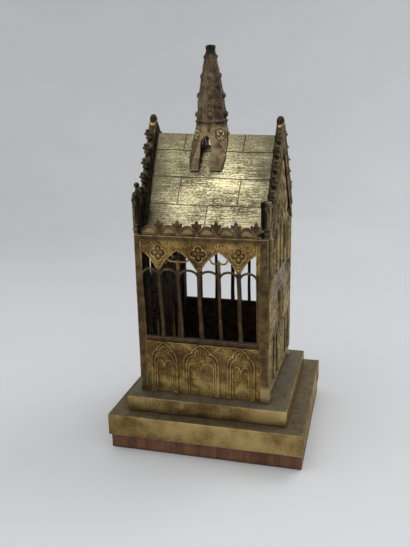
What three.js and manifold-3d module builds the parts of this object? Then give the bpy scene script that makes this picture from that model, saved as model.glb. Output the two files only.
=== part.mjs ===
// A chapel-shaped brass reliquary on a stepped base, in millimetres, +Z up.
// The origin is the middle of the underside, +X runs along the front to the right,
// and the front looks towards -Y. Every piece of sheet or cast brass is a solid of its own.

import * as THREE from 'three';
import { mergeVertices } from 'three/addons/utils/BufferGeometryUtils.js';
import Module from 'manifold-3d';

const wasm = await Module();
wasm.setup();

// ---------------------------------------------------------------- driving dimensions

const CLEARANCE = 0.3;

const WOOD = { width: 123.4, depth: 110, height: 10.2, chamfer: 0.6 };
const PLINTH = { width: 124.8, depth: 116, bottom: 10.5, top: 24.7, sheet: 1 };
const STEP = { width: 103.2, depth: 99.4, bottom: 25, top: 34.9, sheet: 1.2 };

// The chapel stands a little off the middle of its base and slightly turned on it.
const CHAPEL = {
  offsetX: -2.5, offsetY: 1.8, turn: -1.164,
  halfWidth: 42, halfDepth: 42.5, floor: 35.2, eaves: 139, ridge: 197.2, eavesY: 41,
};

const WALL = { plate: 1.6, frame: 2.2, strip: 5.2, railHeight: 3.5 };
const SILL = { centre: 72.2, radius: 1.75, reach: 1.5 };
const LIGHTS = {
  pitch: 12.4, jamb: 36.2, sill: 73.9, springing: 113.4, crown: 118.5,
  vFoot: 118.5, apex: 130.3, minorTop: 124.6, majorRadius: 1.45, minorRadius: 1.2,
};
const CUSP = { width: 2.6, height: 2.0, centre: 124.7, band: 1.1 };
const QUATREFOIL = { lobe: 2.3, spread: 2.6, height: 128.3, raise: 0.55 };

const DADO_ARCHES = [
  { centre: -25.2, half: 7.0, neck: 3.4 },
  { centre: -0.8, half: 10.4, neck: 4.5 },
  { centre: 24.8, half: 7.4, neck: 3.5 },
];
const DADO = { springing: 56.8, neckHeight: 63.5, apex: 68.4, band: 0.9, raise: 0.7, recess: 0.7 };

const GABLE = {
  inner: 38.6, half: 40, plate: 2.6, storey: 3.6, rimReach: 4.4, rimRise: 4, rimDepth: 3.4,
  post: 6.2, postReach: 3.8, ledgeTop: 109.5, ledgeFoot: 102, baseTop: 42,
};
const UPPER_LIGHTS = { pitch: 14.3, width: 11.2, sill: 111, springing: 136, head: 145 };
const NET = { firstRow: 152, rowPitch: 10.6, half: 4.6, height: 6.2 };
const LOWER_LIGHTS = { centres: [-28.6, -16.6, 16.6, 28.6], width: 9.2, sill: 44, springing: 72, head: 78 };
const PIERCINGS = { rows: [83.5, 90, 96.5], pitch: 7.2, radius: 2.1 };

// The left gable wall has bowed in at the eaves and its peak leans out.
const LEFT_LEAN = [[35.2, 0], [140, 3.6], [197.2, -1.0], [209, -1.9]];

const PINNACLE = { centre: 39.6, side: 5.4, foot: 139.3, shoulder: 160, cap: 164.5, knob: 1.7, knobAt: 166.3 };
const CROCKETS = { count: 5, first: 161, pitch: 8.1, width: 4, length: 2.1, height: 2.2, lobes: [[1.5, 2], [-1.7, 1.2]] };
const FINIAL = { foot: 197.5, top: 207.4 };

const CRESTING = { foot: 139.3, strip: 1, pitch: 12, firstArc: -31.4, count: 6, radius: 5.3, rise: 5.7, tip: 149, depth: 1.2 };
const CRESTING_PLANE = 41.1;

const ROOF = { sheet: 1, eavesStart: 1.2, right: 38.3, groove: 0.35, grooveWidth: 0.5, rows: [20, 38.5, 57] };
const ROOF_NOTCH = { right: 36.5, slope: 8.2 };
const ROOF_JOINTS = [[1.4], [-18, 20], [0.5], [-19.3, 19]];
const ROOF_WELL = { half: 5, slope: 10.5 };

const FLECHE = { x: -2.9, sides: 8, sheet: 1.6, ring: 204.6, archWidth: 6.7, backArchWidth: 8.6, archSpring: 190, archTop: 196.3 };
const COLLAR_PROFILE = [[15.9, 172], [15.9, 176.5], [14.4, 182.7], [12.6, 188], [11.4, 196], [9.6, 204.2]];
const SPIRE_PROFILE = [[9.4, 206], [9.3, 210], [8.5, 218], [6.9, 227], [4.7, 237], [3.1, 245.5]];
const SPIRE_TOP = { collar: 3.35, foot: 247.2, top: 250 };
const SPIRE_KNOBS = { rows: 5, perRow: 4, first: 209.5, pitch: 7.2, size: 1.5 };

const BRASS = new THREE.MeshStandardMaterial({ color: 0xa08a4a, roughness: 0.45, metalness: 0.9 });
const BROWN_BRASS = new THREE.MeshStandardMaterial({ color: 0x5d4a2c, roughness: 0.55, metalness: 0.8 });
const ROOF_BRASS = new THREE.MeshStandardMaterial({ color: 0xb9ad74, roughness: 0.4, metalness: 0.9 });
const MAHOGANY = new THREE.MeshStandardMaterial({ color: 0x7a3b24, roughness: 0.6, metalness: 0 });

// ---------------------------------------------------------------- solids and small helpers

// Turns a closed three.js geometry into a solid that can be joined and cut.
function solidOf(geometry) {
  const bare = geometry.clone();
  bare.deleteAttribute('normal');
  bare.deleteAttribute('uv');
  const merged = mergeVertices(bare, 1e-4);
  return new wasm.Manifold(new wasm.Mesh({
    numProp: 3,
    vertProperties: Float32Array.from(merged.attributes.position.array),
    triVerts: Uint32Array.from(merged.index.array),
  }));
}

function joined(solids) {
  return solids.reduce((whole, solid) => whole.add(solid));
}

// Makes the named mesh of one piece from its finished solid.
function pieceOf(name, solid, material) {
  const { vertProperties, triVerts } = solid.getMesh();
  const geometry = new THREE.BufferGeometry();
  geometry.setAttribute('position', new THREE.BufferAttribute(Float32Array.from(vertProperties), 3));
  geometry.setIndex(new THREE.BufferAttribute(Uint32Array.from(triVerts), 1));
  geometry.computeVertexNormals();
  const mesh = new THREE.Mesh(geometry, material);
  mesh.name = name;
  return mesh;
}

// A box between two corners, in any frame.
function block(low, high) {
  const size = high.map((value, axis) => value - low[axis]);
  const middle = high.map((value, axis) => (value + low[axis]) / 2);
  return solidOf(new THREE.BoxGeometry(...size).translate(...middle));
}

// A flat outline in the wall's plane, given thickness from one depth to another.
function slab(points, from, to) {
  const outline = new THREE.Shape(points);
  const geometry = new THREE.ExtrudeGeometry(outline, { depth: to - from, bevelEnabled: false, steps: 1 });
  return solidOf(geometry.translate(0, 0, from));
}

function at(x, y) {
  return new THREE.Vector2(x, y);
}

// Points along an ellipse from one angle to another, in degrees.
function arc(centreX, centreY, radiusX, radiusY, from, to, segments) {
  const points = [];
  for (let i = 0; i <= segments; i += 1) {
    const angle = THREE.MathUtils.degToRad(from + ((to - from) * i) / segments);
    points.push(at(centreX + radiusX * Math.cos(angle), centreY + radiusY * Math.sin(angle)));
  }
  return points;
}

function mirrored(points) {
  return points.map((point) => at(-point.x, point.y)).reverse();
}

function shifted(points, dx, dy) {
  return points.map((point) => at(point.x + dx, point.y + dy));
}

// Value at a height on a line of [height, value] stations.
function alongStations(stations, height) {
  const last = stations.length - 1;
  let i = stations.findIndex(([top]) => height <= top);
  i = i === -1 ? last : Math.max(i, 1);
  const [lowHeight, lowValue] = stations[i - 1];
  const [highHeight, highValue] = stations[i];
  return lowValue + ((highValue - lowValue) * (height - lowHeight)) / (highHeight - lowHeight);
}

// Walls are drawn flat: x along the wall, y up, z outwards. This stands one up at an azimuth.
function stoodUp(mesh, azimuth, distance) {
  const frame = new THREE.Group();
  frame.rotation.z = THREE.MathUtils.degToRad(azimuth);
  mesh.rotation.x = Math.PI / 2;
  mesh.position.y = -distance;
  frame.add(mesh);
  return frame;
}

// ---------------------------------------------------------------- base

function woodBase() {
  const { width, depth, height, chamfer } = WOOD;
  const outline = new THREE.Shape([
    at(-width / 2, -depth / 2), at(width / 2, -depth / 2), at(width / 2, depth / 2), at(-width / 2, depth / 2),
  ]);
  const bevel = { bevelEnabled: true, bevelSegments: 1, bevelSize: chamfer, bevelThickness: chamfer, bevelOffset: -chamfer };
  const board = new THREE.ExtrudeGeometry(outline, { depth: height - 2 * chamfer, ...bevel });
  const inset = PLINTH.sheet + CLEARANCE;
  const tongue = block(
    [-PLINTH.width / 2 + inset, -depth / 2, height - 2],
    [PLINTH.width / 2 - inset, depth / 2, PLINTH.top - inset],
  );
  return pieceOf('wood_base', solidOf(board.translate(0, 0, chamfer)).add(tongue), MAHOGANY);
}

// Sheet metal folded into a lid: a top and four sides, open below.
function foldedLid(name, { width, depth, bottom, top, sheet }) {
  const outside = block([-width / 2, -depth / 2, bottom], [width / 2, depth / 2, top]);
  const inside = block(
    [-width / 2 + sheet, -depth / 2 + sheet, bottom - 1],
    [width / 2 - sheet, depth / 2 - sheet, top - sheet],
  );
  return pieceOf(name, outside.subtract(inside), BRASS);
}

// ---------------------------------------------------------------- front and back walls

// One side of a pointed arch, from its foot beside a mullion up to the apex over the next one.
function archLimb(footX, apexX) {
  const side = Math.sign(apexX - footX);
  const start = at(footX + side * 1.2, LIGHTS.vFoot);
  const bend = at(footX + side * 4.9, LIGHTS.vFoot + 7.7);
  const curve = new THREE.QuadraticBezierCurve(start, bend, at(apexX, LIGHTS.apex));
  return curve.getPoints(5);
}

// Everything open under the spandrels, from sill to arches and jamb to jamb.
function windowOutline() {
  const { pitch, jamb, sill } = LIGHTS;
  const halfArch = archLimb(2 * pitch, 3 * pitch).filter((point) => point.x < jamb);
  const jambTop = at(jamb, LIGHTS.apex - 0.9);
  const right = [
    ...archLimb(0, pitch),
    ...archLimb(2 * pitch, pitch).reverse().slice(1),
    at(2 * pitch, LIGHTS.vFoot - 1),
    ...halfArch, jambTop, at(jamb, sill),
  ];
  return [...right, ...mirrored(right), at(0, LIGHTS.vFoot - 1)];
}

// The round-headed band across one bay between two mullions.
function bayArch(centreX) {
  const { springing, crown } = LIGHTS;
  const outer = arc(centreX, springing, 6.6, crown - springing, 20, 160, 5);
  const inner = arc(centreX, springing - 0.6, 4.9, crown - springing - 1.2, 180, 0, 5);
  return slab([...outer, ...inner], 0.4, 1.9);
}

// Two small scallops hung between the sides of a pointed arch, over a minor mullion.
function cuspBar(centreX) {
  const { width, height, centre, band } = CUSP;
  const scallop = (x) => slab([
    ...arc(x, centre, width + band / 2, height + band / 2, 180, 360, 4),
    ...arc(x, centre, width - band / 2, height - band / 2, 360, 180, 4),
  ], 0.5, 1.7);
  const tie = (side) => slab([
    at(centreX + side * 4.8, centre - 0.3), at(centreX + side * 7.4, centre + 0.9),
    at(centreX + side * 7.2, centre + 2), at(centreX + side * 4.8, centre + 0.9),
  ], 0.5, 1.7);
  return joined([scallop(centreX - width), scallop(centreX + width), tie(-1), tie(1)]);
}

function mullion(centreX, radius, top) {
  const foot = LIGHTS.sill - 1;
  const shaft = new THREE.CylinderGeometry(radius, radius, top - foot, 6);
  return solidOf(shaft.translate(centreX, (top + foot) / 2, 1.1));
}

// A four-lobed boss.
function quatrefoil(centreX, centreY, { lobe, spread }, from, to) {
  const points = [];
  for (let quarter = 0; quarter < 4; quarter += 1) {
    const turn = quarter * 90;
    const angle = THREE.MathUtils.degToRad(turn);
    const x = centreX + spread * Math.cos(angle);
    const y = centreY + spread * Math.sin(angle);
    points.push(...arc(x, y, lobe, lobe, turn - 100, turn + 100, 4));
  }
  return slab(points, from, to);
}

// Outline of a blind arch with an ogee top, grown or shrunk all round by an offset.
function ogeeOutline({ centre, half, neck }, offset, foot) {
  const { springing, neckHeight, apex } = DADO;
  const shoulder = arc(neck + offset, springing, half - neck, neckHeight - springing + offset, 0, 84, 4);
  const right = [
    at(half + offset, foot), ...shoulder,
    at(neck + offset, neckHeight + offset * 0.6),
    at(neck + 0.3 + offset, neckHeight + 1.6),
    at(neck * 0.6 + offset * 0.8, apex - 1.5 + offset * 0.6),
    at(0, apex + offset * 1.3),
  ];
  return shifted([...right, ...mirrored(right).slice(1)], centre, 0);
}

// The raised moulding that follows a blind arch down to the floor.
function ogeeMoulding(arch) {
  const raised = slab(ogeeOutline(arch, DADO.band, CHAPEL.floor), 1, WALL.plate + DADO.raise);
  const inside = slab(ogeeOutline(arch, -DADO.band, CHAPEL.floor - 1), 0.5, 4);
  return raised.subtract(inside);
}

// The sunk field inside a blind arch, with two lobes and a hanging cusp at its head.
function cuspedField({ centre, half }) {
  const inner = half - 2.6;
  const lobe = arc(inner / 2, 54.6, inner / 2, 3, 0, 180, 6);
  const right = [at(inner, CHAPEL.floor + 2), ...lobe];
  const outline = shifted([...right, at(0, 53.4), ...mirrored(right)], centre, 0);
  return slab(outline, WALL.plate - DADO.recess, 4);
}

function wallFrame() {
  const { halfWidth, floor, eaves } = CHAPEL;
  const { frame, strip, railHeight } = WALL;
  const plate = block([-halfWidth, floor, 0], [halfWidth, eaves, frame]);
  const panel = block(
    [-halfWidth + strip, floor - 1, WALL.plate],
    [halfWidth - strip, eaves - railHeight, frame + 1],
  );
  return plate.subtract(panel);
}

function sillRoll() {
  const { halfWidth } = CHAPEL;
  const length = 2 * (halfWidth - WALL.strip) + 1;
  const roll = new THREE.CylinderGeometry(SILL.radius, SILL.radius, length, 8);
  roll.rotateY(Math.PI / 8);
  return solidOf(roll.rotateZ(Math.PI / 2).translate(0, SILL.centre, SILL.reach));
}

// The window's bars and arches, shared by the front and the plainer back.
function windowBars() {
  const { pitch } = LIGHTS;
  const solids = [-2, 0, 2].map((index) => mullion(index * pitch, LIGHTS.majorRadius, LIGHTS.vFoot + 1));
  solids.push(...[-1, 1].map((index) => mullion(index * pitch, LIGHTS.minorRadius, LIGHTS.minorTop)));
  for (let bay = -2.5; bay <= 2.5; bay += 1) {
    solids.push(bayArch(bay * pitch));
  }
  return solids;
}

function frontOrnament() {
  const { pitch } = LIGHTS;
  const { height, raise } = QUATREFOIL;
  const bosses = [-2, 0, 2].map((index) => quatrefoil(index * pitch, height, QUATREFOIL, 1, WALL.plate + raise));
  return [...bosses, ...[-1, 1].map((index) => cuspBar(index * pitch))];
}

function windowWall(name, ornate) {
  const pierced = wallFrame().subtract(slab(windowOutline().reverse(), -1, 4));
  const ornament = ornate ? frontOrnament() : [];
  const wall = joined([pierced, sillRoll(), ...windowBars(), ...ornament, ...DADO_ARCHES.map(ogeeMoulding)]);
  const fields = ornate ? DADO_ARCHES.map(cuspedField) : [];
  return pieceOf(name, fields.reduce((solid, field) => solid.subtract(field), wall), BROWN_BRASS);
}

// ---------------------------------------------------------------- gable walls

// Height of the roof's upper surface at a distance from the ridge line.
function roofHeight(distance) {
  const { ridge, eaves, eavesY } = CHAPEL;
  return ridge - (Math.abs(distance) * (ridge - eaves)) / eavesY;
}

const ROOF_ANGLE = Math.atan2(CHAPEL.ridge - CHAPEL.eaves, CHAPEL.eavesY);

function gableOutline(rise) {
  const { half } = GABLE;
  const lift = rise / Math.cos(ROOF_ANGLE);
  return [
    at(-half, CHAPEL.floor), at(half, CHAPEL.floor),
    at(half, roofHeight(half) + lift), at(0, roofHeight(0) + lift), at(-half, roofHeight(half) + lift),
  ];
}

// The crocketed border that follows both slopes, proud of the wall inside and out.
function gableRim() {
  const outer = slab(gableOutline(GABLE.rimRise), 0, GABLE.rimReach);
  const below = slab(gableOutline(-GABLE.rimDepth), -1, GABLE.rimReach + 1);
  const foot = block([-50, 0, -1], [50, CHAPEL.eaves + 1, 10]);
  return outer.subtract(below).subtract(foot);
}

// A light with a pointed head.
function pointedLight(centreX, width, sill, springing, head) {
  const half = width / 2;
  const limb = new THREE.QuadraticBezierCurve(
    at(half, springing), at(half * 0.9, springing + (head - springing) * 0.6), at(0, head),
  ).getPoints(3);
  const right = [at(half, sill), ...limb];
  return slab(shifted([...right, ...mirrored(right).slice(1)], centreX, 0), -1, 8);
}

// One opening of the net of tracery in the gable's head.
function netOpening(centreX, centreY) {
  const { half, height } = NET;
  const right = [at(0, -height), at(half * 0.75, -height * 0.35), at(half * 0.75, height * 0.35)];
  const outline = shifted([...right, at(0, height), ...mirrored(right).slice(0, 2)], centreX, centreY);
  return slab(outline, -1, 8);
}

function netOpenings() {
  const openings = [];
  for (let row = 0; row < 3; row += 1) {
    const count = 4 - row;
    for (let i = 0; i < count; i += 1) {
      const x = (i - (count - 1) / 2) * UPPER_LIGHTS.pitch;
      openings.push(netOpening(x, NET.firstRow + row * NET.rowPitch));
    }
  }
  return openings;
}

// Small round piercings that fill the heads of the two lower windows.
function piercings() {
  const holes = [];
  for (const side of [-1, 1]) {
    PIERCINGS.rows.forEach((height, row) => {
      const count = 4 - row;
      for (let i = 0; i < count; i += 1) {
        const x = side * 22.6 + (i - (count - 1) / 2) * PIERCINGS.pitch;
        const drill = new THREE.CylinderGeometry(PIERCINGS.radius, PIERCINGS.radius, 12, 4);
        holes.push(solidOf(drill.rotateX(Math.PI / 2).translate(x, height, 2)));
      }
    });
  }
  return holes;
}

// The thicker lower storey, with a sloping ledge on top and a plain foot.
function lowerStorey() {
  const { half, storey, ledgeTop, ledgeFoot, plate } = GABLE;
  const side = [
    at(0, CHAPEL.floor), at(storey, CHAPEL.floor), at(storey, ledgeFoot), at(plate - 0.6, ledgeTop), at(0, ledgeTop),
  ];
  const shape = new THREE.Shape(side.map(({ x, y }) => at(-x, y)).reverse());
  const geometry = new THREE.ExtrudeGeometry(shape, { depth: 2 * half, bevelEnabled: false, steps: 1 });
  return solidOf(geometry.rotateY(Math.PI / 2).translate(-half, 0, 0));
}

// Three upright ribs on the solid pier between the two lower windows.
function pierRibs() {
  return [-7, 0, 7].map((x) => block([x - 1, GABLE.baseTop, 1], [x + 1, 99, GABLE.storey + 0.8]));
}

function gableCentre() {
  const { plate } = GABLE;
  let wall = joined([slab(gableOutline(0), 0, plate), lowerStorey(), ...pierRibs(), gableRim()]);
  for (let i = -2; i <= 2; i += 1) {
    const head = UPPER_LIGHTS.head - Math.abs(i) * 1.5;
    wall = wall.subtract(
      pointedLight(i * UPPER_LIGHTS.pitch, UPPER_LIGHTS.width, UPPER_LIGHTS.sill, UPPER_LIGHTS.springing, head),
    );
  }
  for (const x of LOWER_LIGHTS.centres) {
    wall = wall.subtract(
      pointedLight(x, LOWER_LIGHTS.width, LOWER_LIGHTS.sill, LOWER_LIGHTS.springing, LOWER_LIGHTS.head),
    );
  }
  return [...netOpenings(), ...piercings()].reduce((solid, hole) => solid.subtract(hole), wall);
}

// A leafy knob of two lobes standing on the slope of the rim.
function crocket(side, height) {
  const lift = GABLE.rimRise / Math.cos(ROOF_ANGLE);
  const { ridge, eaves, eavesY } = CHAPEL;
  const x = side * ((ridge + lift - height) * eavesY) / (ridge - eaves);
  const outward = at(side * Math.sin(ROOF_ANGLE), Math.cos(ROOF_ANGLE));
  const upward = at(-side * Math.cos(ROOF_ANGLE), Math.sin(ROOF_ANGLE));
  const lobes = CROCKETS.lobes.map(([along, out]) => {
    const centre = at(x, height).addScaledVector(outward, out).addScaledVector(upward, along);
    const lobe = new THREE.OctahedronGeometry(1.15, 0).rotateZ(0.3);
    lobe.scale(CROCKETS.length, CROCKETS.height, CROCKETS.width);
    return solidOf(lobe.translate(centre.x, centre.y, GABLE.rimReach / 2 + 0.4));
  });
  return joined(lobes);
}

function crockets() {
  const all = [];
  for (let i = 0; i < CROCKETS.count; i += 1) {
    const height = CROCKETS.first + i * CROCKETS.pitch;
    all.push(crocket(-1, height), crocket(1, height));
  }
  return all;
}

function finial() {
  const { foot, top } = FINIAL;
  const profile = [[0, foot], [1.9, foot], [1.6, foot + 2.4], [2.6, foot + 5.4], [2.3, top - 1.4], [1.2, top], [0, top]];
  const bud = new THREE.LatheGeometry(profile.map(([radius, height]) => at(radius, height)), 8);
  return solidOf(bud.translate(0, 0, GABLE.rimReach / 2));
}

// A square corner post that ends in a small pinnacle with a sunk niche.
function cornerPost(side, inward, hasKnob) {
  const { half, post, postReach } = GABLE;
  const edges = [side * (half - post), side * half].sort((a, b) => a - b);
  const shaft = block([edges[0], CHAPEL.floor, -inward], [edges[1], PINNACLE.foot + 1, postReach]);
  const { centre, side: width, foot, shoulder, cap } = PINNACLE;
  const middle = centre - GABLE.inner;
  const x = side * centre;
  const body = block([x - width / 2, foot, middle - width / 2], [x + width / 2, shoulder, middle + width / 2]);
  const spirelet = new THREE.ConeGeometry(width * 0.72, cap - shoulder + 2, 4);
  spirelet.rotateY(Math.PI / 4).translate(x, (cap + shoulder + 2) / 2 - 0.5, middle);
  const niche = pointedLight(x, 2.2, foot + 6, shoulder - 6, shoulder - 3);
  const sunk = niche.intersect(block([x - 5, foot, middle + width / 2 - 0.8], [x + 5, cap, 20]));
  const knob = new THREE.IcosahedronGeometry(PINNACLE.knob, 0).translate(x, PINNACLE.knobAt, middle);
  const parts = [shaft, body.subtract(sunk), solidOf(spirelet)];
  return joined(hasKnob ? [...parts, solidOf(knob)] : parts);
}

// The wall leans with its height; posts and pinnacles stay upright.
function leaned(solid, stations) {
  return solid.warp((vertex) => {
    vertex[2] -= alongStations(stations, vertex[1]);
  });
}

function gableWall(name, { lean, inward, knobless }) {
  const centre = joined([gableCentre(), ...crockets(), finial()]);
  const wall = lean ? leaned(centre.refineToLength(60), lean) : centre;
  const posts = [-1, 1].map((side) => cornerPost(side, inward, side !== knobless));
  return pieceOf(name, joined([wall, ...posts]), BRASS);
}

// ---------------------------------------------------------------- cresting, roof and fleche

// A three-leaved palmette between two arcs.
function palmette(centreX) {
  const { foot, tip } = CRESTING;
  const right = [
    at(0.9, foot + 0.5), at(1.5, foot + 3), at(3.5, foot + 5), at(3.1, foot + 7), at(1.4, foot + 7),
  ];
  return slab(shifted([...right, at(0, tip), ...mirrored(right)], centreX, 0), 0, CRESTING.depth);
}

// A round-headed plate between two palmettes.
function crestingArc(centreX) {
  const { foot, radius, rise, depth } = CRESTING;
  return slab(arc(centreX, foot, radius, rise, 0, 180, 7), 0, depth * 0.8);
}

function cresting(name) {
  const { foot, strip, pitch, firstArc, count, depth } = CRESTING;
  const solids = [block([-36.6, foot, 0], [36.6, foot + strip, depth])];
  for (let i = 0; i < count; i += 1) {
    solids.push(crestingArc(firstArc + i * pitch), palmette(firstArc + (i + 0.5) * pitch - 0.4));
  }
  const trim = block([-36.6, foot - 1, -1], [36.6, foot + 20, depth + 1]);
  return pieceOf(name, joined(solids).intersect(trim), BROWN_BRASS);
}

// Left edge of a roof sheet at a distance up the slope, clear of the leaning gable.
function roofLeftEdge(slope) {
  const height = CHAPEL.eaves + slope * Math.sin(ROOF_ANGLE);
  return -GABLE.inner + alongStations(LEFT_LEAN, height) + CLEARANCE;
}

const SLOPE_LENGTH = Math.hypot(CHAPEL.ridge - CHAPEL.eaves, CHAPEL.eavesY);

// The outline of one roof sheet, x along the ridge and y up the slope. It is cut out round the
// pinnacle at its lower right corner, and round the open well under the fleche.
function roofOutline(top, mirror) {
  const { eavesStart, right } = ROOF;
  const { half, slope } = ROOF_WELL;
  const points = [
    at(roofLeftEdge(eavesStart), eavesStart), at(ROOF_NOTCH.right, eavesStart),
    at(ROOF_NOTCH.right, ROOF_NOTCH.slope), at(right, ROOF_NOTCH.slope), at(right, top),
    at(FLECHE.x + half, top), at(FLECHE.x + half, SLOPE_LENGTH - slope),
    at(FLECHE.x - half, SLOPE_LENGTH - slope), at(FLECHE.x - half, top), at(roofLeftEdge(top), top),
  ];
  return mirror ? mirrored(points) : points;
}

// Shallow joints that mark the sheet out as courses of slabs.
function roofJoints(mirror) {
  const { rows, grooveWidth, groove } = ROOF;
  const low = ROOF.sheet - groove;
  const bounds = [0, ...rows, SLOPE_LENGTH];
  const sign = mirror ? -1 : 1;
  const cuts = rows.map((slope) => block([-60, slope, low], [60, slope + grooveWidth, 5]));
  ROOF_JOINTS.forEach((places, row) => {
    for (const x of places) {
      cuts.push(block([sign * x, bounds[row], low], [sign * x + grooveWidth, bounds[row + 1], 5]));
    }
  });
  return cuts;
}

function roofSheet(name, azimuth) {
  const back = azimuth !== 0;
  // The sheets meet at the ridge with a narrow gap.
  const top = SLOPE_LENGTH - ROOF.sheet * Math.tan(ROOF_ANGLE) - CLEARANCE;
  const flat = slab(roofOutline(top, back), 0, ROOF.sheet);
  const sheet = pieceOf(name, roofJoints(back).reduce((solid, cut) => solid.subtract(cut), flat), ROOF_BRASS);
  sheet.rotation.x = ROOF_ANGLE;
  const normal = [-Math.sin(ROOF_ANGLE), Math.cos(ROOF_ANGLE)];
  sheet.position.y = -CHAPEL.eavesY - ROOF.sheet * normal[0];
  sheet.position.z = CHAPEL.eaves - ROOF.sheet * normal[1];
  const frame = new THREE.Group();
  frame.rotation.z = THREE.MathUtils.degToRad(azimuth);
  frame.add(sheet);
  return frame;
}

function turned(profile, sides) {
  const lathe = new THREE.LatheGeometry(profile.map(([radius, height]) => at(radius, height)), sides);
  return solidOf(lathe.rotateX(Math.PI / 2).rotateZ(Math.PI / sides));
}

// Profile points moved in towards the axis by the wall's thickness.
function thinned(profile, sheet) {
  return profile.map(([radius, height]) => [radius - sheet, height]);
}

function ringProfile() {
  return [
    [8, FLECHE.ring - 1.2], [9.9, FLECHE.ring - 1.1], [10.4, FLECHE.ring], [9.9, FLECHE.ring + 1.1],
    [8, FLECHE.ring + 1.2], [8, FLECHE.ring - 1.2],
  ];
}

// An opening with a pointed head that runs along Y between two distances from the axis.
function collarArch(width, fromY, toY) {
  const half = width / 2;
  const { archSpring, archTop } = FLECHE;
  const right = [at(half, 160), at(half, archSpring), at(half * 0.7, (archSpring + archTop) / 2 + 0.8)];
  const outline = new THREE.Shape([...right, at(0, archTop), ...mirrored(right)]);
  const geometry = new THREE.ExtrudeGeometry(outline, { depth: toY - fromY, bevelEnabled: false, steps: 1 });
  return solidOf(geometry.rotateX(Math.PI / 2).translate(0, toY, 0));
}

// The wedge of space that the roof fills, with a little clearance.
function roofWedge() {
  const lift = CLEARANCE / Math.cos(ROOF_ANGLE);
  const section = new THREE.Shape([at(-60, roofHeight(60) + lift), at(60, roofHeight(60) + lift), at(0, CHAPEL.ridge + lift)]);
  const geometry = new THREE.ExtrudeGeometry(section, { depth: 80, bevelEnabled: false, steps: 1 });
  return solidOf(geometry.rotateX(Math.PI / 2).rotateZ(Math.PI / 2).translate(-40, 0, 0));
}

function spireKnobs() {
  const knobs = [];
  for (let row = 0; row < SPIRE_KNOBS.rows; row += 1) {
    const height = SPIRE_KNOBS.first + row * SPIRE_KNOBS.pitch;
    const radius = alongStations(SPIRE_PROFILE.map(([r, h]) => [h, r]), height);
    for (let i = 0; i < SPIRE_KNOBS.perRow; i += 1) {
      const angle = ((i + (row % 2) / 2) * 2 * Math.PI) / SPIRE_KNOBS.perRow + 0.2;
      const knob = new THREE.OctahedronGeometry(SPIRE_KNOBS.size, 0);
      knobs.push(solidOf(knob.translate(radius * Math.cos(angle), radius * Math.sin(angle), height)));
    }
  }
  return knobs;
}

function fleche() {
  const { sheet, sides } = FLECHE;
  const [, ...collarInside] = thinned(COLLAR_PROFILE, sheet);
  const collar = turned([
    ...COLLAR_PROFILE, ...collarInside.reverse(), [COLLAR_PROFILE[0][0] - sheet, 172], COLLAR_PROFILE[0],
  ], sides);
  const spire = turned([
    [0, 236], [4.7 - sheet, 232], [7.8, FLECHE.ring], [9.4, FLECHE.ring], ...SPIRE_PROFILE,
    [2.95, SPIRE_TOP.foot], [SPIRE_TOP.collar, SPIRE_TOP.foot + 0.4], [SPIRE_TOP.collar, SPIRE_TOP.top], [0, SPIRE_TOP.top - 0.5],
  ], sides);
  const front = collarArch(FLECHE.archWidth, -30, 0);
  const back = collarArch(FLECHE.backArchWidth, 0, 30);
  const cut = collar.subtract(front).subtract(back).subtract(roofWedge());
  const mesh = pieceOf('fleche', joined([cut, turned(ringProfile(), 12), spire, ...spireKnobs()]), BROWN_BRASS);
  mesh.position.x = FLECHE.x;
  return mesh;
}

// ---------------------------------------------------------------- the whole object

function chapel() {
  const { halfDepth, offsetX, offsetY, turn } = CHAPEL;
  const group = new THREE.Group();
  const wallDistance = halfDepth - WALL.frame;
  group.add(stoodUp(windowWall('front_wall', true), 0, wallDistance));
  group.add(stoodUp(windowWall('back_wall', false), 180, wallDistance));
  group.add(stoodUp(gableWall('gable_wall_right', { inward: 0, knobless: -1 }), 90, GABLE.inner));
  group.add(stoodUp(gableWall('gable_wall_left', { inward: 3, lean: LEFT_LEAN }), -90, GABLE.inner));
  group.add(stoodUp(cresting('cresting_front'), 0, CRESTING_PLANE));
  group.add(stoodUp(cresting('cresting_back'), 180, CRESTING_PLANE));
  group.add(roofSheet('roof_front', 0));
  group.add(roofSheet('roof_back', 180));
  group.add(fleche());
  group.position.set(offsetX, offsetY, 0);
  group.rotation.z = THREE.MathUtils.degToRad(turn);
  return group;
}

const reliquary = new THREE.Group();
reliquary.add(woodBase(), foldedLid('plinth_cover', PLINTH), foldedLid('upper_step', STEP), chapel());

export default reliquary;
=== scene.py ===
"""A chapel-shaped brass reliquary: fine meshes, procedural finishes, a plain studio."""

import math

import bmesh
import bpy
from mathutils import Matrix, Vector, noise


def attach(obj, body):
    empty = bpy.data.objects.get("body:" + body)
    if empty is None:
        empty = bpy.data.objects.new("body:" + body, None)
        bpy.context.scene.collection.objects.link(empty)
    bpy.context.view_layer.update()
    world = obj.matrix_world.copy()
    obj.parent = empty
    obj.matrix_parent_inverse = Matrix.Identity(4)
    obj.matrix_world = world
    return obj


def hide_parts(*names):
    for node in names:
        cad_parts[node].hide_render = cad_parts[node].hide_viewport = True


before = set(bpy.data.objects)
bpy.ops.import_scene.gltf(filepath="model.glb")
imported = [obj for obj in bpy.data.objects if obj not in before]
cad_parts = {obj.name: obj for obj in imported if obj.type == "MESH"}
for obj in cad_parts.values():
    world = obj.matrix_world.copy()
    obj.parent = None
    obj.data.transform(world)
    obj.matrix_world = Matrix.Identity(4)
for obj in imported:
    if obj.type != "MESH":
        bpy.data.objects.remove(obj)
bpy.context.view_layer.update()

# Shapes are drawn in millimetres and become metres when their piece is made.
MM = 0.001

# ---------------------------------------------------------------- outlines


def arc(cx, cy, rx, ry, start, end, steps):
    """Points along an ellipse from one angle to another, in degrees."""
    points = []
    for i in range(steps + 1):
        angle = math.radians(start + (end - start) * i / steps)
        points.append((cx + rx * math.cos(angle), cy + ry * math.sin(angle)))
    return points


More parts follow.
